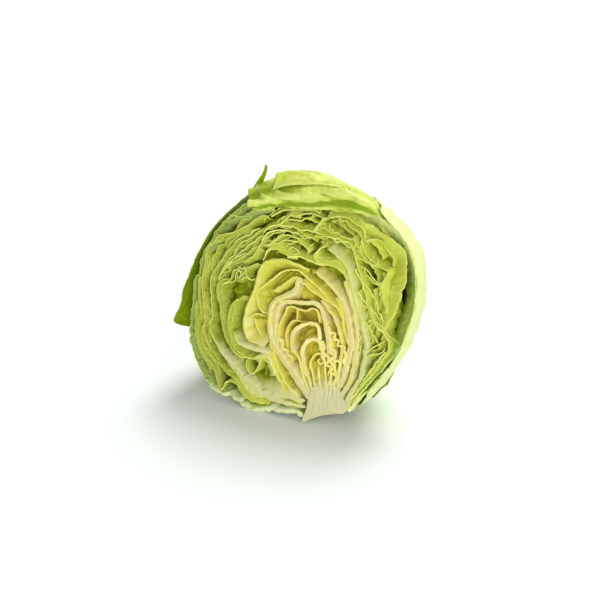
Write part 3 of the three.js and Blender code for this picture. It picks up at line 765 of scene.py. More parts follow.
        Strip(((45, -3), (49, -1.6), (56.6, -5.4), (61, -8.6), (66, -11)),
              close=(4, 4), settle=5, depth=20, ripple=0.45),
        Strip(((46.6, -22.4), (54, -16), (58, -12)),
              thick=(1.1, 1.0), close=(5, 5), settle=5, depth=20, aim=(36, -24)),
        Strip(((47, -25.4), (51, -22), (55.3, -21.4), (59.5, -17)),
              close=(4, 4), settle=5, depth=18, aim=(36, -30)),
    ),
}

# The leaves of the heart, in the same way.
HEART_LEAVES: dict[str, tuple[Strip, ...]] = {
    "heart_leaf_1": (
        Strip(((-22, -32.6), (-33, -30.5), (-36.6, -27), (-38.4, -20.5), (-38, -10.5), (-34, 1.5),
               (-32, 14), (-30, 19), (-27, 22), (-15, 24.6), (3, 21.4)),
              thick=(2.8, 1.8), close=(12, 9), settle=10, depth=34, aim=(-12, -5), ripple=0.15),
        Strip(((-13, 26), (-8, 28), (-3, 28), (9, 25.6), (16, 26.6), (24.5, 24), (28.4, 19.4)),
              thick=(1.6, 1.4), close=(-3, -6), settle=9, depth=26, aim=(4, -5), ripple=0.2),
        Strip(((-36.6, -17), (-29, -12.5), (-24, -13)),
              thick=(1.3, 1.1), settle=5, depth=18, ripple=0.2),
        Strip(((-31, -16), (-28.6, -21), (-25, -26)),
              thick=(1.4, 1.1), depth=18),
    ),
    "heart_leaf_2": (
        Strip(((-25, -11), (-28.4, -8.6), (-31.4, 1), (-23.4, 9), (-15.6, 16.6), (-7.5, 19.6),
               (-2.5, 18.6), (6.5, 13.6), (18, 5.6), (22, 1.6)),
              thick=(1.6, 1.3), close=(5, -3), settle=6, depth=24, ripple=0.15),
        Strip(((-20, 4), (-12, 10.6), (-8.6, 14), (-3, 15.6)),
              thick=(1.8, 1.4), close=(4, 4), settle=6, depth=18, ripple=0.15),
    ),
    "heart_leaf_3": (
        Strip(((13, -58), (-8.5, -38), (-15.5, -31), (-19.8, -23), (-21.4, -14), (-21, -6),
               (-17.6, -1), (-7.2, 5.6), (-4.6, 9.6), (-4.2, 13.6), (-1, 14.6)),
              thick=(4.4, 6.2, 7.0, 5.0, 3.4, 2.8, 3.0, 3.4, 3.0), close=(6, 5), ripple=0.1,
              rooted=1.0),
        Strip(((-13, -29), (-16, -24), (-17.2, -11), (-15, -4.6), (-10.4, -1.2), (2, 0.4), (8, 1.4),
               (12.6, 0), (15.8, -4.5), (21, -21), (22, -28)),
              thick=(3.2, 3.0), close=(5, -3), settle=6, depth=20, ripple=0.1),
        Strip(((-1, 12.6), (2, 11.4), (5.6, 8.6), (20, 3.4), (25, 0), (28.6, -5)),
              thick=(1.8, 1.6), close=(-4, -5), depth=18, ripple=0.15),
        Strip(((9, -62), (-2.6, -53.6), (-10.4, -44), (-18.6, -28)),
              thick=(2.6, 1.4), depth=22, ripple=0.6, rooted=1.0),
        Strip(((8, -64.4), (0, -60.2), (-6, -55.2), (-10.8, -49), (-17.6, -37), (-21, -32.6)),
              thick=(2.4, 1.4), close=(5, 5), settle=5, depth=24, ripple=0.7, rooted=1.0),
    ),
    "heart_leaf_4": (
        Strip(((-12.4, -28), (-13.2, -17), (-9.8, -8), (-9.6, -4.8), (-6, -3.6), (3, -4.2),
               (6.8, -2.2), (10.6, -2.4), (13, -6), (14, -10)),
              thick=(1.8, 1.5), close=(3, 0), settle=6, depth=20, ripple=0.12),
        Strip(((-3, -4.4), (-2.6, -8), (-2.2, -11.6)),
              thick=(1.2, 1.0), close=(1, 1), depth=10, ripple=0.1, start=1.4),
    ),
    "heart_leaf_5": (
        Strip(((-0.6, -32), (-3.4, -28), (-3, -18.8), (5.4, -12.4), (10.6, -11.4), (13.6, -13),
               (15, -17), (17.8, -28)),
              thick=(3.0, 2.6), settle=5, depth=18, ripple=0.1),
        Strip(((-6, -30), (-8, -25), (-8.4, -20), (-7, -15), (-3.8, -11.8), (0.5, -11.4)),
              thick=(1.5, 1.2), settle=5, depth=16, ripple=0.12, start=0.8),
        Strip(((-3.5, -31.5), (0, -32.6), (3.5, -36), (9.4, -45.5)),
              thick=(2.0, 1.6), close=(2, 2), settle=5, depth=14, ripple=0.12),
    ),
    "heart_leaf_6": (
        Strip(((10, -45), (5.4, -34), (4.8, -29), (6.4, -24.8), (9.6, -21.8), (13.4, -21), (16.2, -23),
               (19.6, -33)),
              thick=(3.0, 2.6), settle=5, depth=16, ripple=0.1),
        Strip(((11.4, -40), (11.2, -35), (13.4, -30.8), (16.4, -29), (19.2, -30.4), (19.6, -33.6),
               (17.8, -35.6), (15.8, -33.6), (17.2, -32)),
              thick=(2.0, 1.6), close=(1, 1), settle=5, depth=12, ripple=0.08),
    ),
    "heart_leaf_7": (
        Strip(((33.6, -60.4), (31.4, -51), (34.4, -38.6), (35.8, -18), (30.6, -1), (21, 12), (7, 21)),
              thick=(4.6, 4.0, 3.6, 4.4, 4.4, 3.4, 2.6, 2.4), close=(-1, -4), settle=8, ripple=0.2,
              rooted=1.0),
    ),
    "heart_leaf_8": (
        Strip(((27, -48), (30.4, -40), (30, -20), (23, -5), (13, 4)),
              thick=(2.8, 2.0), close=(-1, -3), depth=22, ripple=0.2),
        Strip(((37.6, -27), (35.6, -21.4), (28.6, -9), (28, -3), (25.6, 3), (22, 7.4)),
              thick=(1.6, 1.3), close=(-3, -5), depth=18, ripple=0.2, start=0.8),
        Strip(((24.6, -48), (26.6, -32), (22.4, -17), (16.4, -8)),
              thick=(1.8, 1.4), close=(0, -3), settle=6, depth=18, ripple=0.2),
    ),
    "heart_leaf_9": (
        Strip(((17, -62), (7, -44.6), (3.5, -37.5)),
              thick=(2.8, 1.7), close=(2, 2), settle=6, depth=16, ripple=0.12, rooted=3.0),
        Strip(((19.4, -62.6), (16, -54), (13.4, -50.4), (8, -38.5), (7, -33)),
              thick=(2.8, 1.7), close=(1, 2), settle=6, depth=15, ripple=0.12, rooted=3.0),
        Strip(((21.6, -62.8), (18.4, -53), (16, -49.6), (12, -38.5)),
              thick=(2.8, 1.7), close=(1, 2), settle=6, depth=15, ripple=0.12, rooted=3.0),
        Strip(((23.8, -63), (21, -52.4), (19.2, -48), (16.6, -37)),
              thick=(2.9, 1.8), close=(1, 2), settle=6, depth=16, ripple=0.12, rooted=3.0),
        Strip(((26, -62.6), (20.4, -32), (18.8, -26), (16, -21)),
              thick=(2.9, 1.5), close=(1, 3), settle=6, depth=18, ripple=0.12, rooted=3.0),
        Strip(((28.2, -62.2), (27.4, -57), (25, -33)),
              thick=(2.9, 1.8), close=(1, 3), settle=6, depth=18, ripple=0.12, rooted=3.0),
        Strip(((30.6, -61.6), (29.2, -46.5), (29.4, -42.5), (27, -30)),
              thick=(2.8, 1.6), close=(1, 3), settle=6, depth=18, ripple=0.12, rooted=3.0),
    ),
    "heart_leaf_10": (
        Strip(((35.4, -59.6), (34.2, -55.6), (35, -51), (39.6, -36.5), (39.8, -16), (35.4, 0.4),
               (27, 18.6)),
              thick=(3.0, 2.6), close=(-1, -5), settle=8, depth=32, ripple=0.25, rooted=1.0),
    ),
}


@dataclass(frozen=True)
class Frill:
    """A short, tightly folded edge of a small leaf, which zigzags along a straight run."""

    start: Point
    end: Point
    folds: int
    reach: float
    seed: int

    def strip(self) -> Strip:
        """Folds the straight run to and fro.

        Returns:
            The folded edge as a strip.
        """
        rng = np.random.default_rng(self.seed)
        share = np.linspace(0.0, 1.0, 2 * self.folds + 1)[:, None]
        run = np.subtract(self.end, self.start)
        across = np.array([-run[1], run[0]]) / np.linalg.norm(run)
        turns = np.where(np.arange(len(share)) % 2, 1.0, -1.0)[:, None] * rng.uniform(0.5, 1.0, share.shape)
        places = np.array(self.start) + run * share + across * turns * self.reach
        return Strip(tuple(map(tuple, places)), thick=(2.3, 1.9), close=(1, 2), settle=5, depth=7,
                     ripple=0.6, start=-0.5)


# The folded edges among the small leaves at the right and left of the heart, and their leaf.
FRILLED = "heart_leaf_9"
FRILLS = (
    Frill((19, -10), (33, -24), 4, 1.7, 51),
    Frill((21, -17), (31, -36), 3, 1.9, 52),
    Frill((17.5, -21), (25.5, -41), 3, 1.6, 53),
    Frill((33, -24), (37, -37), 2, 1.5, 54),
    Frill((25, -26), (29, -44), 3, 1.6, 55),
    Frill((-12, -25), (0, -38), 3, 1.1, 56),
)


@dataclass(frozen=True)
class Backing:
    """The crumpled leaves that close the gaps, some way behind the cut."""

    centre: Point
    size: Point
    depth: float
    seed: int
    cells: int = 90

    def sheet(self) -> Sheet:
        """Crumples a round sheet across the gaps.

        Returns:
            The sheet, without a cut edge.
        """
        side = np.linspace(-1.0, 1.0, self.cells + 1)
        first, second = np.meshgrid(side, side, indexing="ij")
        u = self.centre[0] + self.size[0] * first * np.sqrt(1.0 - 0.5 * second ** 2)
        v = self.centre[1] + self.size[1] * second * np.sqrt(1.0 - 0.5 * first ** 2)
        spot = np.stack([u, v, np.zeros_like(u)], axis=-1)
        crease = 0.9 - np.abs(lattice_noise(spot / 9.0, self.seed)) - 0.5 * np.abs(
            lattice_noise(spot / 4.0, self.seed + 1))
        shift = np.stack([lattice_noise(spot / 8.0, self.seed + k) for k in (2, 3)], axis=-1)
        spot[..., :2] += 2.5 * shift
        spot[..., 2] = self.depth + 9.0 * (crease - 0.4) + 3.0 * lattice_noise(spot / 20.0, self.seed + 4)
        # The depth of 10 mm in its place gives the sheet much of the painted shade of the gaps.
        place = np.stack([u, v + 60.0, np.full_like(u, 10.0)], axis=-1)
        vein, _ = leaf_veins(u, v + 60.0, self.seed)
        nothing = np.zeros_like(u)
        return Sheet(HEAD.world(HEAD.nested(spot)), nothing + 0.4, place, nothing, 0.6 * vein,
                     cut_front=False)


@dataclass(frozen=True)
class Fan:
    """The grooved flesh between the ribs of the heart, where they part above the core."""

    foot: tuple[Point, Point] = ((14.6, -62.4), (33.4, -61.4))
    top: tuple[Point, Point] = ((1.5, -36.0), (31.5, -34.0))
    ridges: float = 10.5
    seed: int = 640

    def sheet(self) -> Sheet:
        """Grooves a sheet that starts at the core's face and sinks away upward.

        Returns:
            The sheet, without a cut edge.
        """
        across, up = np.meshgrid(np.linspace(0.0, 1.0, 91), np.linspace(0.0, 1.0, 49), indexing="ij")
        foot = np.array(self.foot[0]) + across[..., None] * np.subtract(self.foot[1], self.foot[0])
        top = np.array(self.top[0]) + across[..., None] * np.subtract(self.top[1], self.top[0])
        flat = foot + (top - foot) * up[..., None]
        spot = np.concatenate([flat, np.zeros((*up.shape, 1))], axis=-1)
        sway = 0.5 * lattice_noise(spot / 7.0, self.seed)
        ridge = np.cos(2.0 * math.pi * (self.ridges * across + sway))
        spot[..., 2] = 0.9 + 7.0 * up ** 1.6 - (0.2 + 0.9 * up) * ridge
        spot[..., 2] += 0.5 * lattice_noise(spot / 3.0, self.seed + 1) * up
        place = np.stack([10.0 * across, 30.0 * up, 4.0 * up], axis=-1)
        rib = np.clip(1.0 - 1.1 * up, 0.0, 1.0)
        return Sheet(HEAD.world(HEAD.nested(spot)), np.full_like(up, 0.4), place, rib, np.zeros_like(up),
                     cut_front=False)


@dataclass(frozen=True)
class Nest:
    """Thin crumpled layers, nested one in another, that fill a part of the head behind the cut.

    Args:
        turns: from and to, in degrees round the face.
        reach: the nearest and the farthest, as shares of the face's outline.
        count: how many layers.
        seed: picks how they wander.
        close: how far they lean in behind the face.
    """

    turns: Point
    reach: Point
    count: int
    seed: int
    close: float

    def strips(self) -> list[Strip]:
        """Lays the layers round the face's middle.

        Returns:
            The layers, as runs of leaf that start behind the face.
        """
        rng = np.random.default_rng(self.seed)
        layers = []
        for share in np.linspace(*self.reach, self.count):
            first = self.turns[0] + rng.uniform(-6, 10)
            last = self.turns[1] + rng.uniform(-10, 6)
            turn = np.radians(np.arange(first, last, 4.0))
            sway = line_noise(turn * 55.0, 13.0, int(rng.integers(1, 999)))
            radius = HEAD.outline_radius(turn) * (share + 0.035 * sway)
            points = np.array(HEAD.middle) + radius[:, None] * np.stack([np.cos(turn), np.sin(turn)], 1)
            layers.append(Strip(tuple(map(tuple, points)), (1.0, 0.9), (self.close, self.close), 5.0, 12.0,
                                ripple=0.6, start=float(rng.uniform(1.5, 4.5))))
        return layers


NESTS: dict[str, Nest] = {
    "head_leaf_10": Nest((-34, 30), (0.58, 0.78), 5, 31, -4.0),
    "head_leaf_11": Nest((34, 80), (0.48, 0.88), 7, 32, -4.0),
    "head_leaf_12": Nest((84, 132), (0.46, 0.88), 8, 33, -2.0),
    "head_leaf_07": Nest((130, 176), (0.6, 0.86), 6, 34, 4.5),
}
BACKINGS: dict[str, Backing] = {
    "head_leaf_05": Backing((-2, -2), (66, 62), 13.0, 3100, 150),
    "heart_leaf_2": Backing((2, -14), (33, 34), 9.5, 3200),
}
CURLED = Crinkle(0.55, 7.0, 0.2, 2.6)
LOOSE = Crinkle(1.0, 11.0, 0.65, 2.9)


def echoes(strip: Strip, seed: int) -> list[Strip]:
    """Thin crumpled layers that lie beside a long run of leaf, a little behind the cut.

    Args:
        strip: the run that they follow.
        seed: picks where they start and stop.

    Returns:
        The runs to add.
    """
    curve = smooth_curve(strip.points, 2.0)
    if len(curve) < 12 or not strip.echo:
        return []
    rng = np.random.default_rng(seed)
    inward = np.array(strip.aim) - curve
    inward /= np.maximum(np.linalg.norm(inward, axis=1, keepdims=True), 1e-6)
    added = []
    start = int(rng.integers(1, 4))
    while start < len(curve) - 6:
        stop = min(len(curve) - 1, start + int(rng.integers(6, 15)))
        side = rng.uniform(1.6, 3.2)
        bend = np.sin(np.linspace(0.0, math.pi, stop - start))[:, None] ** 0.5
        points = curve[start:stop] + side * bend * inward[start:stop]
        lean = (float(np.clip(strip.close[0], -4, 4)), float(np.clip(strip.close[1], -4, 4)))
        added.append(Strip(tuple(map(tuple, points)), (0.9, 0.8), lean, 5.0, 12.0, strip.aim, 0.55,
                           start=float(rng.uniform(0.4, 2.4))))
        start = stop - 1 + int(rng.integers(1, 5))
    return added


@dataclass
class CutLeaves:
    """The leaves that the cut goes through, from the heart to the outside of the head."""

    leaves: dict[str, tuple[Strip, ...]]
    finish: Finish
    crinkle: Crinkle
    first_seed: int

    def build(self, materials: "Materials") -> None:
        """Builds one piece for each leaf, from all its runs of cut edge.

        Args:
            materials: the finishes of all pieces.
        """
        for number, (name, strips) in enumerate(self.leaves.items()):
            seed = self.first_seed + 40 * number
            sheets = [strip_sheet(strip, seed + k, self.crinkle) for k, strip in enumerate(strips)]
            if self.finish is Finish.INNER:
                more = [echo for k, strip in enumerate(strips) for echo in echoes(strip, seed + k)]
                more += NESTS[name].strips() if name in NESTS else []
                sheets += [strip_sheet(echo, seed + 20 + k, self.crinkle) for k, echo in enumerate(more)]
            if name in BACKINGS:
                sheets.append(BACKINGS[name].sheet())
            if name == FRILLED:
                sheets.append(Fan().sheet())
                sheets += [strip_sheet(frill.strip(), frill.seed, self.crinkle) for frill in FRILLS]
            if name == DOME.name:
                sheets.append(DOME.sheet())
            finish = Finish.WRAPPER if name == "head_leaf_01" else self.finish
            Piece(name, finish, sheets).build(materials)


STEM_FOOT = (25.0, -74.0, 4.0)
HEAD_DIAMETER = 150.0


def from_stem(spot: np.ndarray, heading: float) -> tuple[np.ndarray, np.ndarray]:
    """How far places on the head lie across and along a leaf that grows from the stem's foot.

    Args:
        spot: places as (u, v, depth).
        heading: the direction of the leaf's midrib round the stem, in degrees.

    Returns:
        The distances across and along the leaf, in millimetres.
    """
    away = spot - np.array(STEM_FOOT)
    straight = np.linalg.norm(away, axis=-1)
    share = np.clip(straight / HEAD_DIAMETER, 0.0, 1.0)
    along = HEAD_DIAMETER * np.arcsin(share)
    turn = np.arctan2(away[..., 2], -away[..., 0]) - math.radians(heading)
    turn = np.arctan2(np.sin(turn), np.cos(turn))
    width = np.sin(share * 2.2)
    return 0.5 * HEAD_DIAMETER * width * turn * 0.62, along


def leaf_veins(across: np.ndarray, along: np.ndarray, seed: int) -> tuple[np.ndarray, np.ndarray]:
    """The raised veins of a leaf, as shares of 0 to 1.

    Args:
        across: distance across the leaf from its midrib.
        along: distance from the stem.
        seed: picks how the veins wander.

    Returns:
        All the veins, and the broad midrib alone.
    """
    place = np.stack([across, along, np.full_like(across, 0.5)], axis=-1)
    bent = across + 4.0 * lattice_noise(place / 34.0, seed + 20)
    bent = bent + 1.2 * lattice_noise(place / 11.0, seed + 21)
    risen = along + 5.0 * lattice_noise(place / 26.0, seed + 22)
    risen = risen + 1.5 * lattice_noise(place / 9.0, seed + 23)
    side = np.abs(bent)
    rib = np.exp(-(side / (1.3 + 0.085 * np.maximum(0.0, 90.0 - along))) ** 2)
    rib = rib * smooth_step(125.0, 45.0, along)

    def comb(steepness: float, spacing: float, width: float) -> np.ndarray:
        """Veins at even spacing that leave the midrib at a slope."""
        turns = (risen - steepness * side) / spacing + 0.35 * np.sign(bent)
        return np.exp(-(np.abs(turns - np.floor(turns) - 0.5) * spacing / width) ** 2)

    branch = comb(steepness=1.0, spacing=17.0, width=0.9) * smooth_step(62.0, 20.0, side)
    twig = 0.6 * comb(steepness=-0.5, spacing=9.0, width=0.55) * smooth_step(2.0, 9.0, side)
    return np.clip(np.maximum(np.maximum(branch, twig), rib), 0.0, 1.0), rib


@dataclass
class WrapperLeaf:
    """A leaf wrapped round the outside of the head, with a wavy free margin.

    Args:
        name: the leaf's node.
        middle: the direction of its middle: turn on the face and tilt behind it, in degrees.
        reach: how far its margin lies from its middle, all the way round, in degrees.
        height: how far it stands off the head.
        heading: where its midrib heads, round the stem, in degrees.
        seed: picks its waves.
        nearest: the least depth behind the face that it reaches.
        finish: its finish.
        cells: how many faces lie across it.
        lowest: the least height over the floor that it reaches.
        thick: its thickness.
        lift: how far its free margin stands off.
        swell: the height of its broad swellings.
        pucker: the height of the puckers between its veins.
        grain: the height of its finest crinkles.
        vein_rise: how far its veins stand out.
        rib_rise: how far its midrib stands out.
    """

    name: str
    middle: Point
    reach: tuple[float, ...]
    height: float
    heading: float
    seed: int
    nearest: float = 0.0
    finish: Finish = Finish.WRAPPER
    cells: int = 140
    lowest: float = 2.0
    thick: float = 0.9
    lift: float = 1.4
    swell: float = 1.0
    pucker: float = 1.9
    grain: float = 0.2
    vein_rise: float = 0.35
    rib_rise: float = 0.8

    def direction(self, away: np.ndarray, heading: np.ndarray) -> np.ndarray:
        """Directions from the head's centre.

        Args:
            away: angles from the leaf's middle, in radians.
            heading: which way each angle is taken, in radians.

        Returns:
            Unit vectors as (u, v, depth).
        """
        turn, tilt = map(math.radians, self.middle)
        across = np.array([math.cos(turn), math.sin(turn), 0.0])
        behind = np.array([0.0, 0.0, 1.0])
        centre = across * math.cos(tilt) + behind * math.sin(tilt)
        backward = behind * math.cos(tilt) - across * math.sin(tilt)
        sideways = np.cross(centre, backward)
        return (
            centre * np.cos(away)[..., None]
            + backward * (np.sin(away) * np.cos(heading))[..., None]
            + sideways * (np.sin(away) * np.sin(heading))[..., None]
        )

    def spot(self, away: np.ndarray, heading: np.ndarray, height: np.ndarray) -> np.ndarray:
        """Places on the head at angles from the leaf's middle."""
        return HEAD.on_head(self.direction(away, heading), height)

    def margin(self) -> tuple[np.ndarray, np.ndarray, np.ndarray]:
        """Finds where the leaf ends: at its free margin, at the cut or at the floor.

        Returns:
            Headings round the leaf's middle, how far it reaches at each, and how free its end is.
        """
        heading = 2.0 * math.pi * np.arange(721) / 720
        share = heading / (2.0 * math.pi) * len(self.reach)
        reach = np.array(self.reach, float)
        low = np.floor(share).astype(int)
        ease = share - low
        ease = ease * ease * (3 - 2 * ease)
        far = reach[low % len(reach)] * (1 - ease) + reach[(low + 1) % len(reach)] * ease
        ring = np.stack([np.cos(heading) * 2.6, np.sin(heading) * 2.6, np.full_like(heading, 0.5)], 1)
        wave = 3.0 * lattice_noise(ring, self.seed)
        far = np.radians(far + wave + 1.4 * lattice_noise(ring * 3, self.seed))
        near, end = np.zeros_like(far), far.copy()
        for _ in range(26):
            half = 0.5 * (near + end)
            at = self.spot(half, heading, np.full_like(half, self.height))
            past = (at[..., 2] < self.nearest) | (HEAD.world(at)[..., 2] < self.lowest * MM)
            near, end = np.where(past, near, half), np.where(past, half, end)
        free = (end >= far - 1e-6).astype(float)
        kernel = np.hanning(31)
        padded = np.concatenate([free[-16:-1], free, free[1:16]])
        return heading, end, np.convolve(padded, kernel / kernel.sum(), "valid")

    def sheet(self) -> Sheet:
        """Spreads the leaf from its middle, up to its margin or to the cut.

        Returns:
            The whole leaf.
        """
        side = np.linspace(-1.0, 1.0, self.cells + 1)
        first, second = np.meshgrid(side, side, indexing="ij")
        flat_u = first * np.sqrt(1.0 - 0.5 * second ** 2)
        flat_v = second * np.sqrt(1.0 - 0.5 * first ** 2)
        turned = np.arctan2(flat_v, flat_u) % (2.0 * math.pi)
        headings, ends, frees = self.margin()
        end = np.interp(turned, headings, ends)
        free = np.interp(turned, headings, frees)
        outward = np.minimum(np.hypot(flat_u, flat_v), 1.0)
        away = end * outward
        base = self.spot(away, turned, np.full_like(away, self.height))
        near_margin = np.exp(-np.degrees(end - away) / 4.0) * free
        across, along = from_stem(base, self.heading)
        vein, rib = leaf_veins(across, along, self.seed)
        wave = lattice_noise(base / 8.0, self.seed + 5)
        swell = lattice_noise(base / 24.0, self.seed + 6)
        pucker = np.abs(lattice_noise(base / 10.0, self.seed + 9))
        fine = lattice_noise(base / 3.0, self.seed + 8)
        height = (
            self.height + self.swell * swell + self.pucker * pucker * (1.0 - 0.7 * vein)
            + self.grain * fine + near_margin * self.lift * (1.0 + 1.3 * wave)
            + self.vein_rise * vein + self.rib_rise * rib
        )
        near_cut = (1.0 - free) * np.exp(-np.degrees(end - away) / 3.0)
        height = height + near_cut * (self.height - height) * 0.7
        height = np.maximum(height, self.height - 0.7)
        placed = self.spot(away, turned, height)
        placed[..., 2] = np.maximum(placed[..., 2], self.nearest)
        half_thick = 0.5 * self.thick * (1.0 - 0.4 * near_margin) + 0.3 * rib
        place = np.stack([across, along, np.full_like(across, 30.0)], axis=-1)
        return Sheet(HEAD.world(placed), half_thick, place, rib, vein, cut_front=False)

    def build(self, materials: "Materials") -> None:
        """Builds the leaf as a piece."""
        Piece(self.name, self.finish, [self.sheet()]).build(materials)


DOME = WrapperLeaf("head_leaf_01", (90, 70), (84, 84, 84, 84, 84, 84, 84, 84), -5.0, 95.0, 705,
                   nearest=26.0)


@dataclass
class LooseLeaf:
    """The dark outer leaf on the left: it stands off the head, up to a thin tip at the top."""

    name: str = "outer_leaf_left"
    front: tuple[Point, ...] = (
        (-35.4, 81), (-36, 77), (-38.6, 72), (-41, 67.4), (-45, 61.4), (-50, 56), (-56, 48.8),
        (-62, 41), (-68, 32.6), (-73, 24.4), (-77.4, 15), (-80, 7.6), (-81.4, 2), (-84.2, -7),
        (-84.6, -13), (-85.6, -19), (-88, -25), (-88.6, -29), (-85.4, -31), (-82, -35), (-78, -45),
        (-70, -58),
    )
    recess: tuple[float, ...] = (
        0, 0, 0, 0, 0, 0, 0, 0, 0, 0, 0, 0, 0, 0, 0, 0, 0, 0, 3, 18, 32, 42,
    )
    back: tuple[float, ...] = (
        2, 3, 5, 8, 13, 20, 30, 38, 45, 50, 54, 58, 60, 61, 62, 62, 62, 62, 61, 60, 57, 54,
    )
    height: float = 1.4
    settle: float = 10.0
    seed: int = 901
    rows: int = 64

    def sheet(self) -> Sheet:
        """Spreads the leaf from its front margin to its back margin.

        Returns:
            The whole leaf.
        """
        rails = np.column_stack([np.array(self.front), self.recess, self.back])
        rails = smooth_curve(rails, 0.9)
        front, recess, back = rails[:, :2], rails[:, 2], rails[:, 3]
        share = np.linspace(0.0, 1.0, self.rows + 1) ** 1.2
        depth = recess[:, None] + (back - recess)[:, None] * share[None, :]
        away = front - np.array(HEAD.middle)
        turn = np.arctan2(away[:, 1], away[:, 0])
        outline = HEAD.outline_radius(turn)
        stand = np.hypot(away[:, 0], away[:, 1]) - outline
        radius = outline[:, None] * HEAD.swelling(depth, np.ones_like(depth))
        unit = np.broadcast_to(np.stack([np.cos(turn), np.sin(turn)], 1)[:, None, :], (*depth.shape, 2))
        base = np.concatenate([np.array(HEAD.middle) + unit * radius[..., None], depth[..., None]], axis=-1)
        wave = lattice_noise(base / 9.0, self.seed)
        swell = lattice_noise(base / 20.0, self.seed + 1)
        fine = lattice_noise(base / 3.0, self.seed + 2)
        pucker = np.abs(lattice_noise(base / 10.0, self.seed + 3))
        behind = depth - recess[:, None]
        flare = (stand[:, None] - self.height) * np.exp(-(behind / self.settle) ** 1.6)
        open_end = smooth_step(0.0, 10.0, behind)
        margin = np.exp(-(back[:, None] - depth) / 5.0) * smooth_step(10.0, 30.0, back)[:, None]
        across, along = from_stem(base, 20.0)
        vein, rib = leaf_veins(across, along, self.seed)
        height = self.height + flare + 0.15 * fine + 0.3 * vein + 0.7 * rib + open_end * (
            0.9 * swell + 1.3 * pucker * (1.0 - 0.7 * vein) + margin * (1.3 + 1.6 * wave))
        height = height + (1.0 - open_end) * 0.55 * wave
        reach = radius + np.maximum(height, 0.5)
        base[..., :2] = np.array(HEAD.middle) + unit * reach[..., None]
        half = np.full(depth.shape, 0.45) * (0.6 + 0.4 * smooth_step(0, 3, behind)) + 0.3 * rib
        place = np.stack([across, along, np.full_like(across, 30.0)], axis=-1)
        return Sheet(HEAD.world(base), half, place, rib * 0.8, vein, cut_front=False)

    def build(self, materials: "Materials") -> None:
        """Builds the leaf as a piece."""
        Piece(self.name, Finish.OUTER, [self.sheet()]).build(materials)


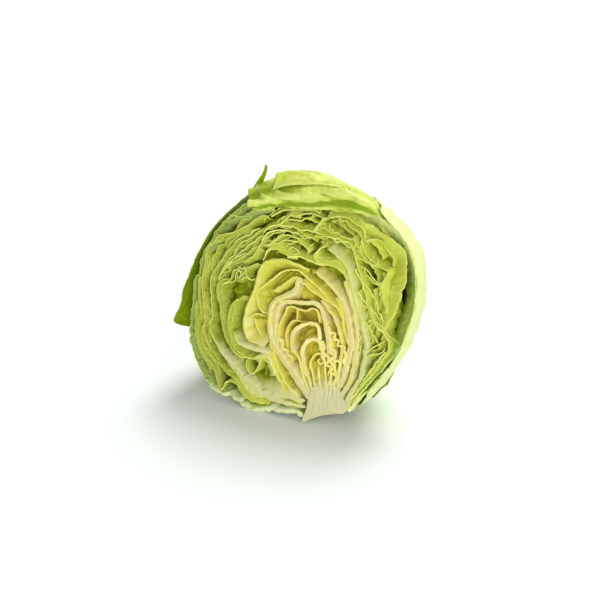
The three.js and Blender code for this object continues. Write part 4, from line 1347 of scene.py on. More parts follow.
@dataclass
class CrownLeaf:
    """The leaf that lies over the top of the head and folds down in front of the cut."""

    name: str = "crown_leaf"
    lip: tuple[Point, ...] = (
        (-41.4, 54.6), (-34.5, 54), (-25, 56.4), (-15.5, 58.8), (-5.5, 59.4), (3, 60), (11, 60.6),
        (22, 61), (33, 61.4), (38.4, 61.4), (42.4, 61.8),
    )
    dip: tuple[Point, ...] = (
        (-41, 55.4), (-33, 56), (-22.5, 58.8), (-12, 60.8), (-2, 62.6), (8.5, 64.6), (18.5, 67),
        (27, 68), (35, 66.4), (39.8, 64.2), (43, 62.4),
    )
    ridge: tuple[Point, ...] = (
        (-40.4, 56.6), (-32, 58.6), (-22, 61.6), (-11.5, 64.4), (-1.5, 66.8), (8.5, 69), (18.5, 71),
        (27.5, 72.4), (36, 69.6), (40.8, 66.2), (43.8, 63.2),
    )
    valley: tuple[Point, ...] = (
        (-41.8, 58), (-36, 61.4), (-27, 66), (-17, 69.4), (-7, 72), (3, 73.6), (13, 74), (23, 73.4),
        (32, 70.4), (39.8, 66.6), (46, 62.4),
    )
    back: tuple[float, ...] = (17, 32, 46, 55, 60, 60, 56, 49, 39, 30, 22)
    stand: tuple[float, ...] = (2.4, 2.4, 1.2, -0.4, -1.4, -2.0, -2.8, -3.6, -4.2, -4.0, -3.6)
    lip_depths: tuple[float, ...] = (-4.0, -5.6, -7.2, -3.6)
    # Painted light on the front rows: a painted highlight on the lip and the ridge, painted shade in the
    # dip and the valley.
    lip_painted_light: tuple[float, ...] = (0.4, -1.0, 1.0, -0.7)
    back_parts: tuple[float, ...] = (0.05, 0.16, 0.3, 0.5, 0.75, 1.0)
    fold_ends: Point = (0.24, 0.76)
    seed: int = 950
    rows: int = 90

    def sheets(self) -> list[Sheet]:
        """Folds the leaf from the edge of its lip to its back margin.

        Returns:
            The leaf, and the fold that lies on it.
        """
        rails = np.column_stack([self.lip, self.dip, self.ridge, self.valley, self.back, self.stand])
        rails = smooth_curve(rails, 0.9)
        share = np.linspace(0.0, 1.0, len(rails))
        jag = line_noise(share * 90.0, 7.0, self.seed) + 0.5 * line_noise(share * 90.0, 3.0, self.seed + 4)
        stands_off = 1.0 - 1.15 * smooth_step(0.8, 1.0, share)
        front = [
            np.column_stack([rails[:, 2 * k:2 * k + 2], depth * stands_off])
            for k, depth in enumerate(self.lip_depths)
        ]
        front[0][:, 1] += 0.9 * jag
        main = self.surface(front, rails[:, 6:8], rails[:, 8], rails[:, 9], self.seed, self.lip_painted_light)
        inner = slice(*(int(end * len(rails)) for end in self.fold_ends))
        along = np.linspace(0.0, 1.0, len(rails[inner]))
        lift = 0.3 + 2.6 * (1.0 - smooth_step(0.35, 1.0, along))
        fold_front = front[3][inner] + np.array([0.0, 0.9, -0.9])
        fold_next = fold_front + np.stack([0.0 * along, 0.6 + lift, 2.6 + 0.0 * along], axis=1)
        fold = self.surface([fold_front, fold_next], fold_next[:, :2], rails[inner, 8] * 0.8,
                            rails[inner, 9] + lift, self.seed + 30, (0.9, 0.2))
        return [main, fold]

    def surface(
        self, front: list[np.ndarray], top: np.ndarray, back: np.ndarray, height: np.ndarray, seed: int,
        painted_light_rows: tuple[float, ...],
    ) -> Sheet:
        """One surface, from its front rails over the top of the head.

        Args:
            front: rows of places in front of the head's top.
            top: the places that give each row's turn round the head.
            back: how far behind the face each row ends.
            height: how far each row stands off the head.
            seed: picks its ridges.
            painted_light_rows: how far each front row takes a painted highlight (1) or painted shade (-1).

        Returns:
            The sheet.
        """
        away = top - np.array(HEAD.middle)
        turn = np.arctan2(away[:, 1], away[:, 0])
        unit = np.stack([np.cos(turn), np.sin(turn)], axis=1)
        full = HEAD.outline_radius(turn)
        knots = list(front)
        for part in self.back_parts:
            depth = back * part
            lifted = height + np.maximum(-1.8 - height, 0.0) * smooth_step(6.0, 20.0, depth)
            radius = full * HEAD.swelling(depth, np.ones_like(depth)) + lifted
            knots.append(np.column_stack([np.array(HEAD.middle) + unit * radius[:, None], depth]))
        marked = [
            np.column_stack([knot, np.full(len(knot), painted_light)])
            for knot, painted_light in zip(knots, (*painted_light_rows, *[0.0] * len(self.back_parts)))
        ]
        grid = np.stack([self.resample(row) for row in np.stack(marked, axis=1)])
        grid, painted_light = grid[..., :3], grid[..., 3]
        normal = np.cross(np.gradient(grid, axis=0), np.gradient(grid, axis=1))
        normal /= np.linalg.norm(normal, axis=-1, keepdims=True)
        if np.sum(normal[..., :2] * (grid[..., :2] - np.array(HEAD.middle))) < 0:
            normal = -normal
        wave = lattice_noise(grid / 9.0, seed + 1)
        streak = grid * np.array([0.04, 0.17, 0.13]) + grid[..., [1]] * np.array([0.03, 0.0, 0.0])
        ridge = 1.0 - 2.0 * np.abs(lattice_noise(streak, seed + 2))
        fine = lattice_noise(grid / 3.0, seed + 3)
        behind = grid[..., 2]
        calm = 1.0 - 0.5 * smooth_step(8.0, 24.0, behind)
        rise = (1.4 * ridge + 0.7 * wave) * calm + 0.4 * fine
        margin = np.exp(-(back[:, None] - behind) / 5.0) * smooth_step(2.0, 10.0, behind)
        rise = rise + margin * (0.3 + 0.9 * wave)
        grid = grid + normal * rise[..., None]
        # Painted shade in the dip, the valley and between the ridges; as a depth in the place it darkens
        # the leaf to its deep colour.
        hollow_shade = np.maximum(np.clip(-painted_light, 0.0, 1.0), smooth_step(0.3, -0.7, ridge))
        place = np.stack([grid[..., 0], grid[..., 2] + 20, 16.0 * hollow_shade], axis=-1)
        vein, _ = leaf_veins(grid[..., 0] - 2.0, grid[..., 2] + 30.0, seed)
        # A painted highlight on the pale rows and on the ridge crests, drawn in the vein colour along with
        # the real veins.
        pale = np.maximum(np.clip(painted_light, 0.0, 1.0), 0.6 * smooth_step(0.4, 0.95, ridge))
        half = np.full(rise.shape, 0.42)
        return Sheet(HEAD.world(grid), half, place, np.zeros(rise.shape), np.maximum(0.6 * vein, pale),
                     cut_front=False)

    def resample(self, knots: np.ndarray) -> np.ndarray:
        """Draws a smooth line through one row of knots.

        Args:
            knots: the places that the line passes.

        Returns:
            A fixed number of places on the line.
        """
        fine = smooth_curve(knots, 0.4)
        wanted = np.linspace(0.0, 1.0, self.rows + 1) ** 1.3 * (len(fine) - 1)
        return np.stack([np.interp(wanted, np.arange(len(fine)), column) for column in fine.T], axis=1)

    def build(self, materials: "Materials") -> None:
        """Builds the leaf as a piece."""
        Piece(self.name, Finish.CROWN, self.sheets()).build(materials)


@dataclass
class Core:
    """The cut core: a stub of stem that spreads up into the ribs of the heart."""

    name: str = "core"
    left: tuple[Point, ...] = (
        (10.6, -75), (11, -70.6), (12.4, -66), (12.6, -61), (13, -56.4), (14.4, -51.6), (17.4, -46.6),
    )
    right: tuple[Point, ...] = (
        (37.2, -63.2), (40.4, -59.8), (40, -57.4), (37.6, -55.2), (35.4, -52.6), (33, -49.4),
        (29, -45.4),
    )
    swell: tuple[float, ...] = (13, 14.5, 14, 12, 10, 8, 6)
    sink: tuple[float, ...] = (-0.6, -0.5, -0.4, -0.2, 0.1, 0.8, 2.6)
    seed: int = 970
    around: int = 48

    def form(self) -> tuple[np.ndarray, np.ndarray]:
        """Rounds the skin between the two outlines, and grooves the cut face.

        Returns:
            The grids of places on the skin and on the cut face.
        """
        rails = smooth_curve(np.column_stack([self.left, self.right, self.swell, self.sink]), 0.7)
        left, right, swell, sink = rails[:, :2], rails[:, 2:4], rails[:, 4], rails[:, 5]
        middle, half = 0.5 * (left + right), 0.5 * (right - left)
        angle = np.linspace(0.0, math.pi, self.around + 1)
        flat = middle[:, None, :] + half[:, None, :] * np.cos(angle)[None, :, None]
        depth = np.sin(angle)[None, :] * swell[:, None] + sink[:, None]
        skin = np.concatenate([flat, depth[..., None]], axis=-1)
        rough = 0.35 * lattice_noise(skin / 4.0, self.seed)
        rough = rough + 0.15 * lattice_noise(skin / 1.6, self.seed + 1)
        push = rough * np.sin(angle)[None, :] ** 0.5
        skin[..., :2] += half[:, None, :] / np.linalg.norm(half, axis=1)[:, None, None] * (
            push * np.cos(angle)[None, :])[..., None]
        skin[..., 2] += push * np.sin(angle)[None, :]
        across = np.linspace(1.0, -1.0, self.around + 1)
        face = middle[:, None, :] + half[:, None, :] * across[None, :, None]
        grooves = np.concatenate([face / np.array([1.3, 7.0]), np.zeros((*face.shape[:2], 1))], axis=-1)
        relief = 0.4 * lattice_noise(grooves, self.seed + 2)
        relief *= np.sin(np.linspace(0, math.pi, self.around + 1))[None, :] ** 0.5
        relief *= np.linspace(0.7, 2.2, len(face))[:, None]
        bow = 2.0 * (1.0 - across ** 2)[None, :] * np.linspace(1.0, 0.0, len(face))[:, None] ** 3
        face[..., 1] += bow
        skin[..., 1] += bow
        front = np.concatenate([face, (sink[:, None] + relief)[..., None]], axis=-1)
        front[:, 0] = skin[:, 0]
        front[:, -1] = skin[:, -1]
        return skin, front

    def build(self, materials: "Materials") -> None:
        """Builds the core as a closed piece, flat where it is cut.

        Args:
            materials: the finishes of all pieces.
        """
        skin, front = self.form()
        rows, columns = skin.shape[:2]
        spots = np.vstack([HEAD.world(skin).reshape(-1, 3), HEAD.world(front).reshape(-1, 3)])
        spots[:, 2] = np.maximum(spots[:, 2], FLOOR_GAP * MM)
        index = np.arange(rows * columns).reshape(rows, columns)
        other = index + rows * columns
        foot = row_faces(index[0], other[0])
        point = row_faces(index[-1][::-1], other[-1][::-1])
        faces = np.vstack([grid_faces(index), grid_faces(other)[:, ::-1], foot, point])
        is_cut = np.zeros(len(faces), bool)
        size = (rows - 1) * (columns - 1)
        is_cut[size:2 * size] = True
        mesh = make_mesh(self.name, spots, faces, is_cut)
        place = np.vstack([skin.reshape(-1, 3), front.reshape(-1, 3)])
        add_attribute(mesh, "leaf_place", place)
        add_attribute(mesh, "rib", np.ones(len(place)))
        add_attribute(mesh, "vein", np.zeros(len(place)))
        add_attribute(mesh, "outside", np.zeros(len(place)))
        place_piece(self.name, mesh, Finish.CORE, materials)


@dataclass
class Graph:
    """A node tree with short ways to add and join its nodes."""

    tree: bpy.types.NodeTree

    def add(self, kind: str, inputs: dict | None = None, **settings: object) -> bpy.types.Node:
        """Adds a node.

        Args:
            kind: the node's type.
            inputs: a value or a link for each named input.
            settings: the node's own settings.

        Returns:
            The new node.
        """
        node = self.tree.nodes.new(kind)
        for key, value in settings.items():
            setattr(node, key, value)
        for key, value in (inputs or {}).items():
            self.feed(node.inputs[key], value)
        return node

    def feed(self, socket: bpy.types.NodeSocket, value: object) -> None:
        """Links another socket to an input, or sets the input's own value.

        Args:
            socket: the input.
            value: the socket to link, or the value.
        """
        if isinstance(value, bpy.types.NodeSocket):
            self.tree.links.new(value, socket)
        elif isinstance(value, tuple) and len(value) == 3 and socket.type == "RGBA":
            socket.default_value = (*value, 1.0)
        else:
            socket.default_value = value

    def math(self, operation: str, first: object, second: object = 0.5, **settings: object) -> object:
        """The result of one sum on numbers."""
        node = self.add("ShaderNodeMath", {0: first, 1: second}, operation=operation, **settings)
        return node.outputs[0]

    def times(self, first: object, second: object) -> object:
        """The product of two numbers."""
        return self.math("MULTIPLY", first, second)

    def attribute(self, name: str, output: str = "Fac") -> object:
        """What the mesh holds at a place: a number, or with output Vector a vector."""
        return self.add("ShaderNodeAttribute", attribute_name=name).outputs[output]

    def span(self, value: object, low: float, high: float, start: float = 0.0, end: float = 1.0) -> object:
        """A number carried smoothly from one range to another."""
        node = self.add(
            "ShaderNodeMapRange",
            {"Value": value, "From Min": low, "From Max": high, "To Min": start, "To Max": end},
            interpolation_type="SMOOTHSTEP",
        )
        return node.outputs["Result"]

    def blend(self, share: object, first: object, second: object) -> object:
        """Mixes two colours.

        Args:
            share: how far towards the second.
            first: the first colour.
            second: the second colour.

        Returns:
            The mixed colour.
        """
        node = self.add("ShaderNodeMix", data_type="RGBA")
        for socket, value in zip((node.inputs[0], node.inputs[6], node.inputs[7]), (share, first, second)):
            self.feed(socket, value)
        return node.outputs[2]

    def noise(self, vector: object, scale: object, detail: float) -> object:
        """Smooth noise of 0 to 1."""
        node = self.add("ShaderNodeTexNoise", {"Vector": vector, "Scale": scale, "Detail": detail})
        return node.outputs["Fac"]


def new_group(name: str, inputs: dict[str, str], outputs: dict[str, str]) -> tuple[Graph, object, object]:
    """Starts a node group with named sockets.

    Args:
        name: the group's name.
        inputs: the kind of each input socket, by its name.
        outputs: the kind of each output socket, by its name.

    Returns:
        The group's graph, its input node and its output node.
    """
    tree = bpy.data.node_groups.new(name, "ShaderNodeTree")
    for label, kind in inputs.items():
        tree.interface.new_socket(label, in_out="INPUT", socket_type=f"NodeSocket{kind}")
    for label, kind in outputs.items():
        tree.interface.new_socket(label, in_out="OUTPUT", socket_type=f"NodeSocket{kind}")
    graph = Graph(tree)
    return graph, graph.add("NodeGroupInput"), graph.add("NodeGroupOutput")


def vein_group() -> bpy.types.NodeTree:
    """Veins of a leaf: a fan of branching ribs and a fine net between them, from its own places.

    Returns:
        The node group.
    """
    graph, given, result = new_group(
        "leaf_veins",
        {"Place": "Vector", "Spacing": "Float", "Width": "Float"},
        {"Vein": "Float", "Net": "Float"},
    )
    bend = graph.add("ShaderNodeTexNoise", {"Vector": given.outputs["Place"], "Scale": 0.09, "Detail": 1.0})
    moved = graph.add("ShaderNodeVectorMath", {0: bend.outputs["Color"], 1: (0.5, 0.5, 0.5)},
                      operation="SUBTRACT")
    scaled = graph.add("ShaderNodeVectorMath", {0: moved.outputs[0], "Scale": 9.0}, operation="SCALE")
    place = graph.add("ShaderNodeVectorMath", {0: given.outputs["Place"], 1: scaled.outputs[0]})
    parts = graph.add("ShaderNodeSeparateXYZ", {0: place.outputs[0]})
    side = graph.math("ABSOLUTE", parts.outputs[0])
    rise = graph.math("SUBTRACT", parts.outputs[1], graph.times(side, 1.15))
    turns = graph.math("DIVIDE", rise, given.outputs["Spacing"])
    off = graph.math("ABSOLUTE", graph.math("SUBTRACT", graph.math("FRACT", turns), 0.5))
    off_mm = graph.times(off, given.outputs["Spacing"])
    side_width = graph.times(given.outputs["Width"], graph.span(side, 0.0, 45.0, 1.0, 0.35))
    side_vein = graph.math("SUBTRACT", 1.0, graph.math("DIVIDE", off_mm, side_width, use_clamp=True))
    middle_width = graph.times(given.outputs["Width"], 2.4)
    middle = graph.math("SUBTRACT", 1.0, graph.math("DIVIDE", side, middle_width, use_clamp=True))
    vein = graph.math("MAXIMUM", graph.times(side_vein, 0.85), middle)
    net = graph.add("ShaderNodeTexVoronoi", {"Vector": place.outputs[0], "Scale": 0.28},
                    feature="DISTANCE_TO_EDGE")
    graph.feed(result.inputs["Vein"], vein)
    graph.feed(result.inputs["Net"], graph.span(net.outputs["Distance"], 0.0, 0.10, 1.0, 0.0))
    return graph.tree


@dataclass(frozen=True)
class Zone:
    """A ball round a place in the head, where leaves take a tone of their own or painted shade.

    Args:
        middle: the place, as (u, v, depth).
        full: the distance up to which the tone is full, in metres.
        gone: the distance where it ends, in metres.
    """

    middle: tuple[float, float, float]
    full: float
    gone: float

    def mask(self, graph: Graph, spot: object) -> object:
        """How far a shaded place lies in the zone.

        Args:
            graph: the graph that takes the nodes.
            spot: the place's socket.

        Returns:
            The socket of a number from 0 to 1.
        """
        middle = tuple(HEAD.world(np.array(self.middle)))
        away = graph.add("ShaderNodeVectorMath", {0: spot, 1: middle}, operation="DISTANCE")
        return graph.span(away.outputs["Value"], self.full, self.gone, 1.0, 0.0)


HEART_ZONE = Zone((9.0, -20.0, 8.0), 0.010, 0.050)
STEM_ZONE = Zone((23.5, -61.0, 2.0), 0.007, 0.024)
# Two pockets between the leaves, where the leaves behind the cut take painted shade.
HOLLOW_SHADE_ZONES = (
    Zone((-3.0, -13.5, 8.0), 0.007, 0.014),
    Zone((-47.0, -58.0, 8.0), 0.010, 0.026),
)
# Where painted shade on the left side, and the tones of the back and the top, begin and are full, in metres
# in the frame.
SIDE_SHADE_RANGE = (-0.022, -0.050)
BACK_RANGE = (0.010, 0.046)
HIGH_RANGE = (0.092, 0.122)


def tone_group() -> bpy.types.NodeTree:
    """Changes of tone over a leaf, and masks for the parts of the head with a tone of their own, or with
    painted shade: the left side and two pockets.

    Returns:
        The node group.
    """
    graph, given, result = new_group(
        "leaf_tone", {"Size": "Float"},
        {"Patch": "Float", "Speck": "Float", "Heart": "Float", "High": "Float", "Stem": "Float",
         "Side": "Float", "Back": "Float", "HollowShade": "Float"},
    )
    spot = graph.add("ShaderNodeNewGeometry").outputs["Position"]
    parts = graph.add("ShaderNodeSeparateXYZ", {0: spot}).outputs
    scaled = graph.add("ShaderNodeVectorMath", {0: spot, "Scale": 1.0 / MM}, operation="SCALE").outputs[0]
    masks = {
        "Patch": graph.span(graph.noise(scaled, given.outputs["Size"], 3.0), 0.3, 0.7),
        "Speck": graph.noise(scaled, 0.9, 3.0),
        "Heart": HEART_ZONE.mask(graph, spot),
        "High": graph.span(parts[2], *HIGH_RANGE),
        "Stem": STEM_ZONE.mask(graph, spot),
        "Side": graph.span(parts[0], *SIDE_SHADE_RANGE),
        "Back": graph.span(parts[1], *BACK_RANGE),
        "HollowShade": graph.math("MAXIMUM", *(zone.mask(graph, spot) for zone in HOLLOW_SHADE_ZONES)),
    }
    for name, mask in masks.items():
        graph.feed(result.inputs[name], mask)
    return graph.tree


@dataclass(frozen=True)
class LeafFinish:
    """The colours and the surface of one kind of leaf.

    Its colour goes from blade and shade at the cut to deep behind it, over the two depths of deepens. For
    most leaves deep is painted shade in the gaps behind the cut, and on the crown in its valleys; on the
    outside faces of the wrapper leaves and on the outer leaf it is their own colour. Each of high, back,
    stem and warm is the tone of one part of the head, side is painted shade on the left side of the head
    and hollow is painted shade in two pockets; the share of each (for warm, the warmth) says how much of it
    the leaf takes.
    """

    blade: Colour
    shade: Colour
    deep: Colour
    vein: Colour
    rib: Colour
    cut: Colour
    warm: Colour = linear(226, 205, 84)
    warm_cut: Colour = linear(240, 226, 150)
    warmth: float = 0.85
    roughness: float = 0.42
    shine: float = 0.2
    vein_spacing: float = 9.0
    vein_width: float = 0.9
    vein_strength: float = 0.55
    patch_size: float = 0.05
    relief: float = 0.5
    inside_light: float = 0.12
    high: Colour = (1.0, 1.0, 1.0)
    high_share: float = 0.0
    deepens: Point = (1.0, 12.0)
    outside_share: float = 0.0
    stem: Colour = linear(216, 210, 156)
    stem_share: float = 0.0
    # Painted shade on the left side of the head.
    side: Colour = linear(128, 144, 4)
    side_shade_share: float = 0.0
    back: Colour = linear(190, 208, 96)
    back_share: float = 0.0
    # Painted shade in the two pockets.
    hollow_shade: Colour = linear(124, 140, 2)
    hollow_shade_share: float = 0.0

    def flesh(self, graph: Graph, tone: object, depth: object) -> tuple[object, object]:
        """The leaf's colour between its veins.

        Args:
            graph: the material's graph.
            tone: the outputs of the group that varies tone.
            depth: how far behind the cut a place lies.

        Returns:
            The colour, and how far it has gone to the deep colour.
        """
        colour = graph.blend(tone["Patch"], self.blade, self.shade)
        high = graph.times(graph.times(tone["High"], self.high_share),
                           graph.math("SUBTRACT", 1.0, tone["Side"]))
        colour = graph.blend(high, colour, self.high)
        # Painted shade on the left side of the head.
        colour = graph.blend(graph.times(tone["Side"], self.side_shade_share), colour, self.side)
        outside = graph.times(graph.attribute("outside"), self.outside_share)
        # Painted shade: behind the cut the colour goes to deep; the wrapper's outside faces go to their own
        # pale colour.
        deepness = graph.math("MAXIMUM", graph.span(depth, *self.deepens, 0.0, 0.95), outside)
        colour = graph.blend(deepness, colour, self.deep)
        colour = graph.blend(graph.times(tone["Back"], self.back_share), colour, self.back)
        warm = graph.times(tone["Heart"], self.warmth)
        warm = graph.times(warm, graph.span(deepness, 0.0, 1.0, 1.0, 0.2))
        colour = graph.blend(warm, colour, self.warm)
        # Painted shade in the two pockets, from a little behind the cut.
        hollow_shade = graph.times(tone["HollowShade"], graph.span(depth, 0.5, 4.0, 0.0, self.hollow_shade_share))
        return graph.blend(hollow_shade, colour, self.hollow_shade), deepness

    def moisten(self, shader: bpy.types.Node, blue: float, reach: float) -> None:
        """Lets light into the leaf and gives it its shine.

        Args:
            shader: the material's shader.
            blue: how far blue light goes in, against red and green.
            reach: how far light goes in, in metres.
        """
        shader.inputs["Subsurface Weight"].default_value = self.inside_light
        shader.inputs["Specular IOR Level"].default_value = self.shine
        shader.inputs["Subsurface Radius"].default_value = (1.0, 1.0, blue)
        shader.inputs["Subsurface Scale"].default_value = reach

    def surface(
        self, name: str, veins: bpy.types.NodeTree, tones: bpy.types.NodeTree
    ) -> bpy.types.Material:
        """The leaf's two faces.

        Args:
            name: the material's name.
            veins: the group that draws veins.
            tones: the group that varies tone.

        Returns:
            The new material.
        """
        material, graph, shader = start_material(name)
        place = graph.attribute("leaf_place", "Vector")
        depth = graph.add("ShaderNodeSeparateXYZ", {0: place}).outputs[2]
        pattern = {"Place": place, "Spacing": self.vein_spacing, "Width": self.vein_width}
        vein = graph.add("ShaderNodeGroup", pattern, node_tree=veins).outputs
        tone = graph.add("ShaderNodeGroup", {"Size": self.patch_size}, node_tree=tones).outputs
        colour, deepness = self.flesh(graph, tone, depth)
        drawn = graph.math("MAXIMUM", graph.times(vein["Vein"], 0.35), graph.times(vein["Net"], 0.3))
        drawn = graph.math("MAXIMUM", drawn, graph.attribute("vein"))
        # Veins and specks fade where the painted shade behind the cut is full.
        light = graph.math("SUBTRACT", 1.0, graph.times(deepness, 1.0 - self.outside_share))
        strength = graph.times(graph.times(drawn, self.vein_strength), light)
        colour = graph.blend(strength, colour, self.vein)
        colour = graph.blend(graph.span(graph.attribute("rib"), 0.30, 0.95), colour, self.rib)
        speck = graph.span(tone["Speck"], 0.25, 0.8, 0.0, 0.22)
        colour = graph.blend(graph.times(speck, light), colour, self.vein)
        colour = graph.blend(graph.times(tone["Stem"], self.stem_share), colour, self.stem)
        graph.feed(shader.inputs["Base Color"], colour)
        rough = graph.span(tone["Speck"], 0.2, 0.8, self.roughness - 0.06, self.roughness + 0.12)
        graph.feed(shader.inputs["Roughness"], rough)
        height = graph.math("ADD", graph.times(drawn, 0.7), graph.times(tone["Speck"], 0.5))
        bump = graph.add("ShaderNodeBump", {"Strength": self.relief, "Distance": 0.0008, "Height": height})
        graph.feed(shader.inputs["Normal"], bump.outputs[0])
        self.moisten(shader, 0.25, 0.0016)
        return material

    def cut_edge(self, name: str, tones: bpy.types.NodeTree) -> bpy.types.Material:
        """The pale, moist edge where the leaf is cut through.

        Args:
            name: the material's name.
            tones: the group that varies tone.

        Returns:
            The new material.
        """
        material, graph, shader = start_material(name)
        tone = graph.add("ShaderNodeGroup", {"Size": self.patch_size * 3.0}, node_tree=tones).outputs
        colour = graph.blend(graph.times(tone["Patch"], 0.45), self.cut, self.blade)
        colour = graph.blend(graph.times(tone["Heart"], self.warmth), colour, self.warm_cut)
        colour = graph.blend(graph.span(graph.attribute("rib"), 0.35, 1.0), colour, self.rib)
        colour = graph.blend(graph.times(tone["Stem"], self.stem_share), colour, self.stem)
        graph.feed(shader.inputs["Base Color"], colour)
        graph.feed(shader.inputs["Roughness"], graph.span(tone["Speck"], 0.2, 0.8, 0.30, 0.5))
        bump = graph.add("ShaderNodeBump", {"Strength": 0.3, "Distance": 0.0004, "Height": tone["Speck"]})
        graph.feed(shader.inputs["Normal"], bump.outputs[0])
        self.moisten(shader, 0.4, 0.0012)
        return material


def start_material(name: str) -> tuple[bpy.types.Material, Graph, bpy.types.Node]:
    """Starts a node material with its Principled shader joined to the output.

    Args:
        name: the material's name.

    Returns:
        The material, its graph and its shader.
    """
    material = bpy.data.materials.new(name)
    material.use_nodes = True
    material.node_tree.nodes.clear()
    graph = Graph(material.node_tree)
    shader = graph.add("ShaderNodeBsdfPrincipled")
    output = graph.add("ShaderNodeOutputMaterial")
    graph.feed(output.inputs["Surface"], shader.outputs[0])
    return material, graph, shader


@dataclass
class Materials:
    """The finishes of all pieces, each a pair: the leaf's faces and its cut edge."""

    # For most finishes deep is painted shade behind the cut, and hollow and side are painted shade; the
    # wrapper's deep is its own pale outside colour.
    looks: dict[Finish, LeafFinish] = field(default_factory=lambda: {
        Finish.CORE: LeafFinish(
            blade=linear(212, 206, 150), shade=linear(202, 196, 134), deep=linear(196, 186, 108),
            vein=linear(224, 220, 176), rib=linear(214, 210, 160), cut=linear(212, 208, 160), warmth=0.1),
        Finish.HEART: LeafFinish(
            blade=linear(220, 222, 88), shade=linear(206, 208, 54), deep=linear(206, 200, 34),
            vein=linear(238, 234, 140), rib=linear(234, 224, 154), cut=linear(238, 234, 130),
            warm=linear(240, 220, 72), warm_cut=linear(238, 224, 132), stem_share=0.85,
            deepens=(2.5, 16.0), hollow_shade=linear(172, 152, 8), hollow_shade_share=0.8),
        Finish.INNER: LeafFinish(
            blade=linear(206, 214, 84), shade=linear(186, 196, 44), deep=linear(160, 172, 6),
            vein=linear(224, 230, 136), rib=linear(222, 220, 158), cut=linear(228, 234, 130),
            stem_share=0.5, side_shade_share=0.55, hollow_shade_share=0.7),
        Finish.WRAPPER: LeafFinish(
            blade=linear(160, 180, 30), shade=linear(142, 166, 14), deep=linear(218, 228, 150),
            vein=linear(226, 234, 172), rib=linear(230, 236, 180), cut=linear(226, 236, 132), warmth=0.0,
            high=linear(208, 216, 116), high_share=0.9, deepens=(90.0, 99.0), outside_share=1.0,
            side=linear(112, 136, 6), side_shade_share=0.7, back_share=0.7,
            vein_spacing=13.0, vein_width=1.1, vein_strength=0.7),
        Finish.OUTER: LeafFinish(
            blade=linear(142, 164, 18), shade=linear(120, 144, 6), deep=linear(130, 156, 12),
            vein=linear(188, 204, 88), rib=linear(216, 224, 140), cut=linear(156, 178, 36), warmth=0.0,
            vein_spacing=12.0, vein_width=1.0, vein_strength=0.6),
        # The crown's deep colour is painted shade in its valleys, and its vein colour also draws its
        # painted highlight.
        Finish.CROWN: LeafFinish(
            blade=linear(188, 202, 60), shade=linear(166, 184, 32), deep=linear(128, 150, 8),
            vein=linear(226, 232, 132), rib=linear(232, 236, 160), cut=linear(214, 228, 104), warmth=0.0,
            vein_spacing=11.0, vein_strength=0.75, back=linear(186, 206, 80), back_share=0.8),
    })
    made: dict[Finish, tuple[bpy.types.Material, bpy.types.Material]] = field(default_factory=dict)

    def build(self) -> None:
        """Makes the shared node groups and the materials."""
        veins, tones = vein_group(), tone_group()
        for finish, look in self.looks.items():
            self.made[finish] = (
                look.surface(f"{finish.value}_surface", veins, tones),
                look.cut_edge(f"{finish.value}_cut", tones),
            )

    def pair(self, finish: Finish) -> tuple[bpy.types.Material, bpy.types.Material]:
        """The material of a leaf's faces and the one of its cut edge."""
        return self.made[finish]


def seen_directly(graph: Graph) -> object:
    """A mask of the rays that see a thing, rather than take light from it.

    Args:
        graph: the graph that takes the nodes.

    Returns:
        The mask's socket.
    """
    rays = graph.add("ShaderNodeLightPath").outputs
    seen = graph.math("MAXIMUM", rays["Is Camera Ray"], rays["Is Glossy Ray"])
    return graph.math("MAXIMUM", seen, rays["Is Transmission Ray"])


@dataclass(frozen=True)
class Lamp:
    """A soft lamp far away.

    Args:
        name: its name.
        turn: its direction round the head, in degrees.
        rise: its direction over the floor, in degrees.
        spread: how broad it looks, in degrees.
        power: how bright it is.
    """

    name: str
    turn: float
    rise: float
    spread: float
    power: float

    def build(self) -> None:
        """Puts the lamp in the scene, turned to the head."""
        lamp = bpy.data.lights.new(self.name, "SUN")
        lamp.angle = math.radians(self.spread)
        lamp.energy = self.power
        thing = bpy.data.objects.new(self.name, lamp)
        turn, rise = math.radians(self.turn), math.radians(self.rise)
        thing.location = (math.cos(turn) * math.cos(rise), math.sin(turn) * math.cos(rise), math.sin(rise))
        thing.rotation_euler = (-thing.location).to_track_quat("-Z", "Y").to_euler()
        bpy.context.scene.collection.objects.link(thing)


SENSOR_WIDTH = 36.0


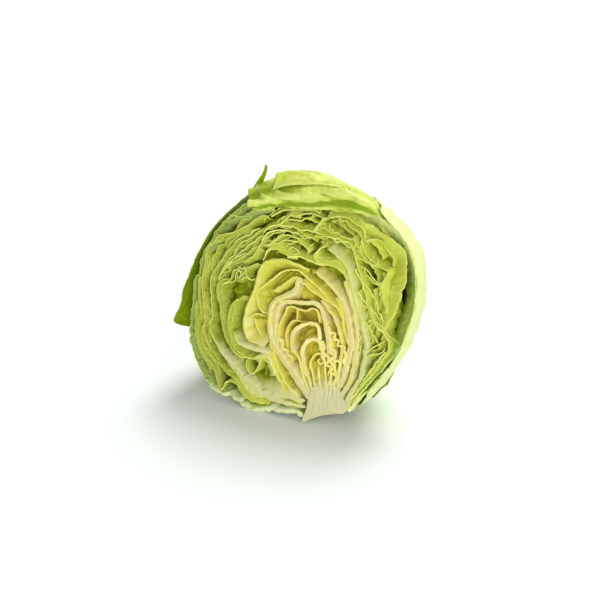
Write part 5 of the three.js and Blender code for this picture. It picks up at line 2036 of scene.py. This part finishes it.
@dataclass
class Studio:
    """A white floor, soft lamps and the camera."""

    yaw: float = 27.0
    rise: float = 24.0
    distance: float = 0.9
    focal: float = 87.1
    shift: Point = (-0.00062, 0.00186)
    floor_size: float = 6.0
    floor_colour: Colour = (0.775, 0.83, 0.81)
    floor_glow: float = 0.02
    world_light: float = 0.325
    lamps: tuple[Lamp, ...] = (
        Lamp("key_lamp", 84.0, 57.0, 36.0, 2.72),
        Lamp("front_lamp", -58.0, 14.0, 40.0, 1.78),
        Lamp("side_lamp", 4.0, 40.0, 70.0, 0.5),
    )

    def build(self) -> None:
        """Makes the floor, the world, the lamps and the camera."""
        self.floor()
        self.world()
        for lamp in self.lamps:
            lamp.build()
        self.camera()

    def floor(self) -> None:
        """A broad white floor that keeps the head's shadow."""
        half = self.floor_size / 2
        mesh = bpy.data.meshes.new("floor")
        mesh.from_pydata([(-half, -half, 0), (half, -half, 0), (half, half, 0), (-half, half, 0)], [],
                         [(0, 1, 2, 3)])
        floor = bpy.data.objects.new("floor", mesh)
        bpy.context.scene.collection.objects.link(floor)
        material, graph, shader = start_material("floor")
        shader.inputs["Base Color"].default_value = (*self.floor_colour, 1.0)
        shader.inputs["Roughness"].default_value = 0.7
        glow = graph.times(seen_directly(graph), self.floor_glow)
        shader.inputs["Emission Color"].default_value = (1.0, 1.0, 1.0, 1.0)
        graph.feed(shader.inputs["Emission Strength"], glow)
        mesh.materials.append(material)

    def world(self) -> None:
        """A white world, plainly lit."""
        world = bpy.data.worlds.new("studio")
        world.use_nodes = True
        graph = Graph(world.node_tree)
        world.node_tree.nodes.clear()
        plain = graph.add("ShaderNodeBackground", {"Color": (1.0, 1.0, 1.0), "Strength": self.world_light})
        shown = graph.add("ShaderNodeBackground", {"Color": (1.0, 1.0, 1.0), "Strength": 1.0})
        mixed = graph.add("ShaderNodeMixShader", {
            0: seen_directly(graph), 1: plain.outputs[0], 2: shown.outputs[0]})
        output = graph.add("ShaderNodeOutputWorld")
        graph.feed(output.inputs["Surface"], mixed.outputs[0])
        bpy.context.scene.world = world

    def camera(self) -> None:
        """The camera, in front and to the right, looking down on the cut face."""
        yaw, rise = math.radians(self.yaw), math.radians(self.rise)
        toward = Vector((math.sin(yaw) * math.cos(rise), -math.cos(yaw) * math.cos(rise), math.sin(rise)))
        middle = Vector((0.0, 0.0, HEAD.face_height * MM))
        look = -toward
        right = look.cross(Vector((0, 0, 1))).normalized()
        up = right.cross(look).normalized()
        aim = middle + right * self.shift[0] + up * self.shift[1]
        data = bpy.data.cameras.new("camera")
        data.lens = self.focal
        data.sensor_width = SENSOR_WIDTH
        camera = bpy.data.objects.new("camera", data)
        camera.location = aim + toward * self.distance
        camera.rotation_euler = look.to_track_quat("-Z", "Y").to_euler()
        bpy.context.scene.collection.objects.link(camera)
        bpy.context.scene.camera = camera


def main() -> None:
    """Builds the head leaf by leaf, and the studio round it."""
    logging.basicConfig(level=logging.INFO, format="%(name)s: %(message)s")
    bpy.context.scene.view_settings.view_transform = "Standard"
    materials = Materials()
    materials.build()
    assemblies = (
        Core(),
        CutLeaves(HEART_LEAVES, Finish.HEART, CURLED, 100),
        CutLeaves(HEAD_LEAVES, Finish.INNER, LOOSE, 2000),
        WrapperLeaf("outer_leaf_right", (4, 36), (50, 52, 56, 60, 62, 60, 56, 60, 62, 58, 52, 48),
                    -0.9, 150.0, 701, lift=0.3),
        WrapperLeaf("back_leaf", (-88, 50), (70, 64, 60, 54, 50, 54, 62, 58, 52, 54, 58, 66),
                    2.6, 80.0, 702),
        LooseLeaf(),
        CrownLeaf(),
    )
    for assembly in assemblies:
        assembly.build(materials)
    Studio().build()
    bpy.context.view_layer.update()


if __name__ == "__main__":
    main()
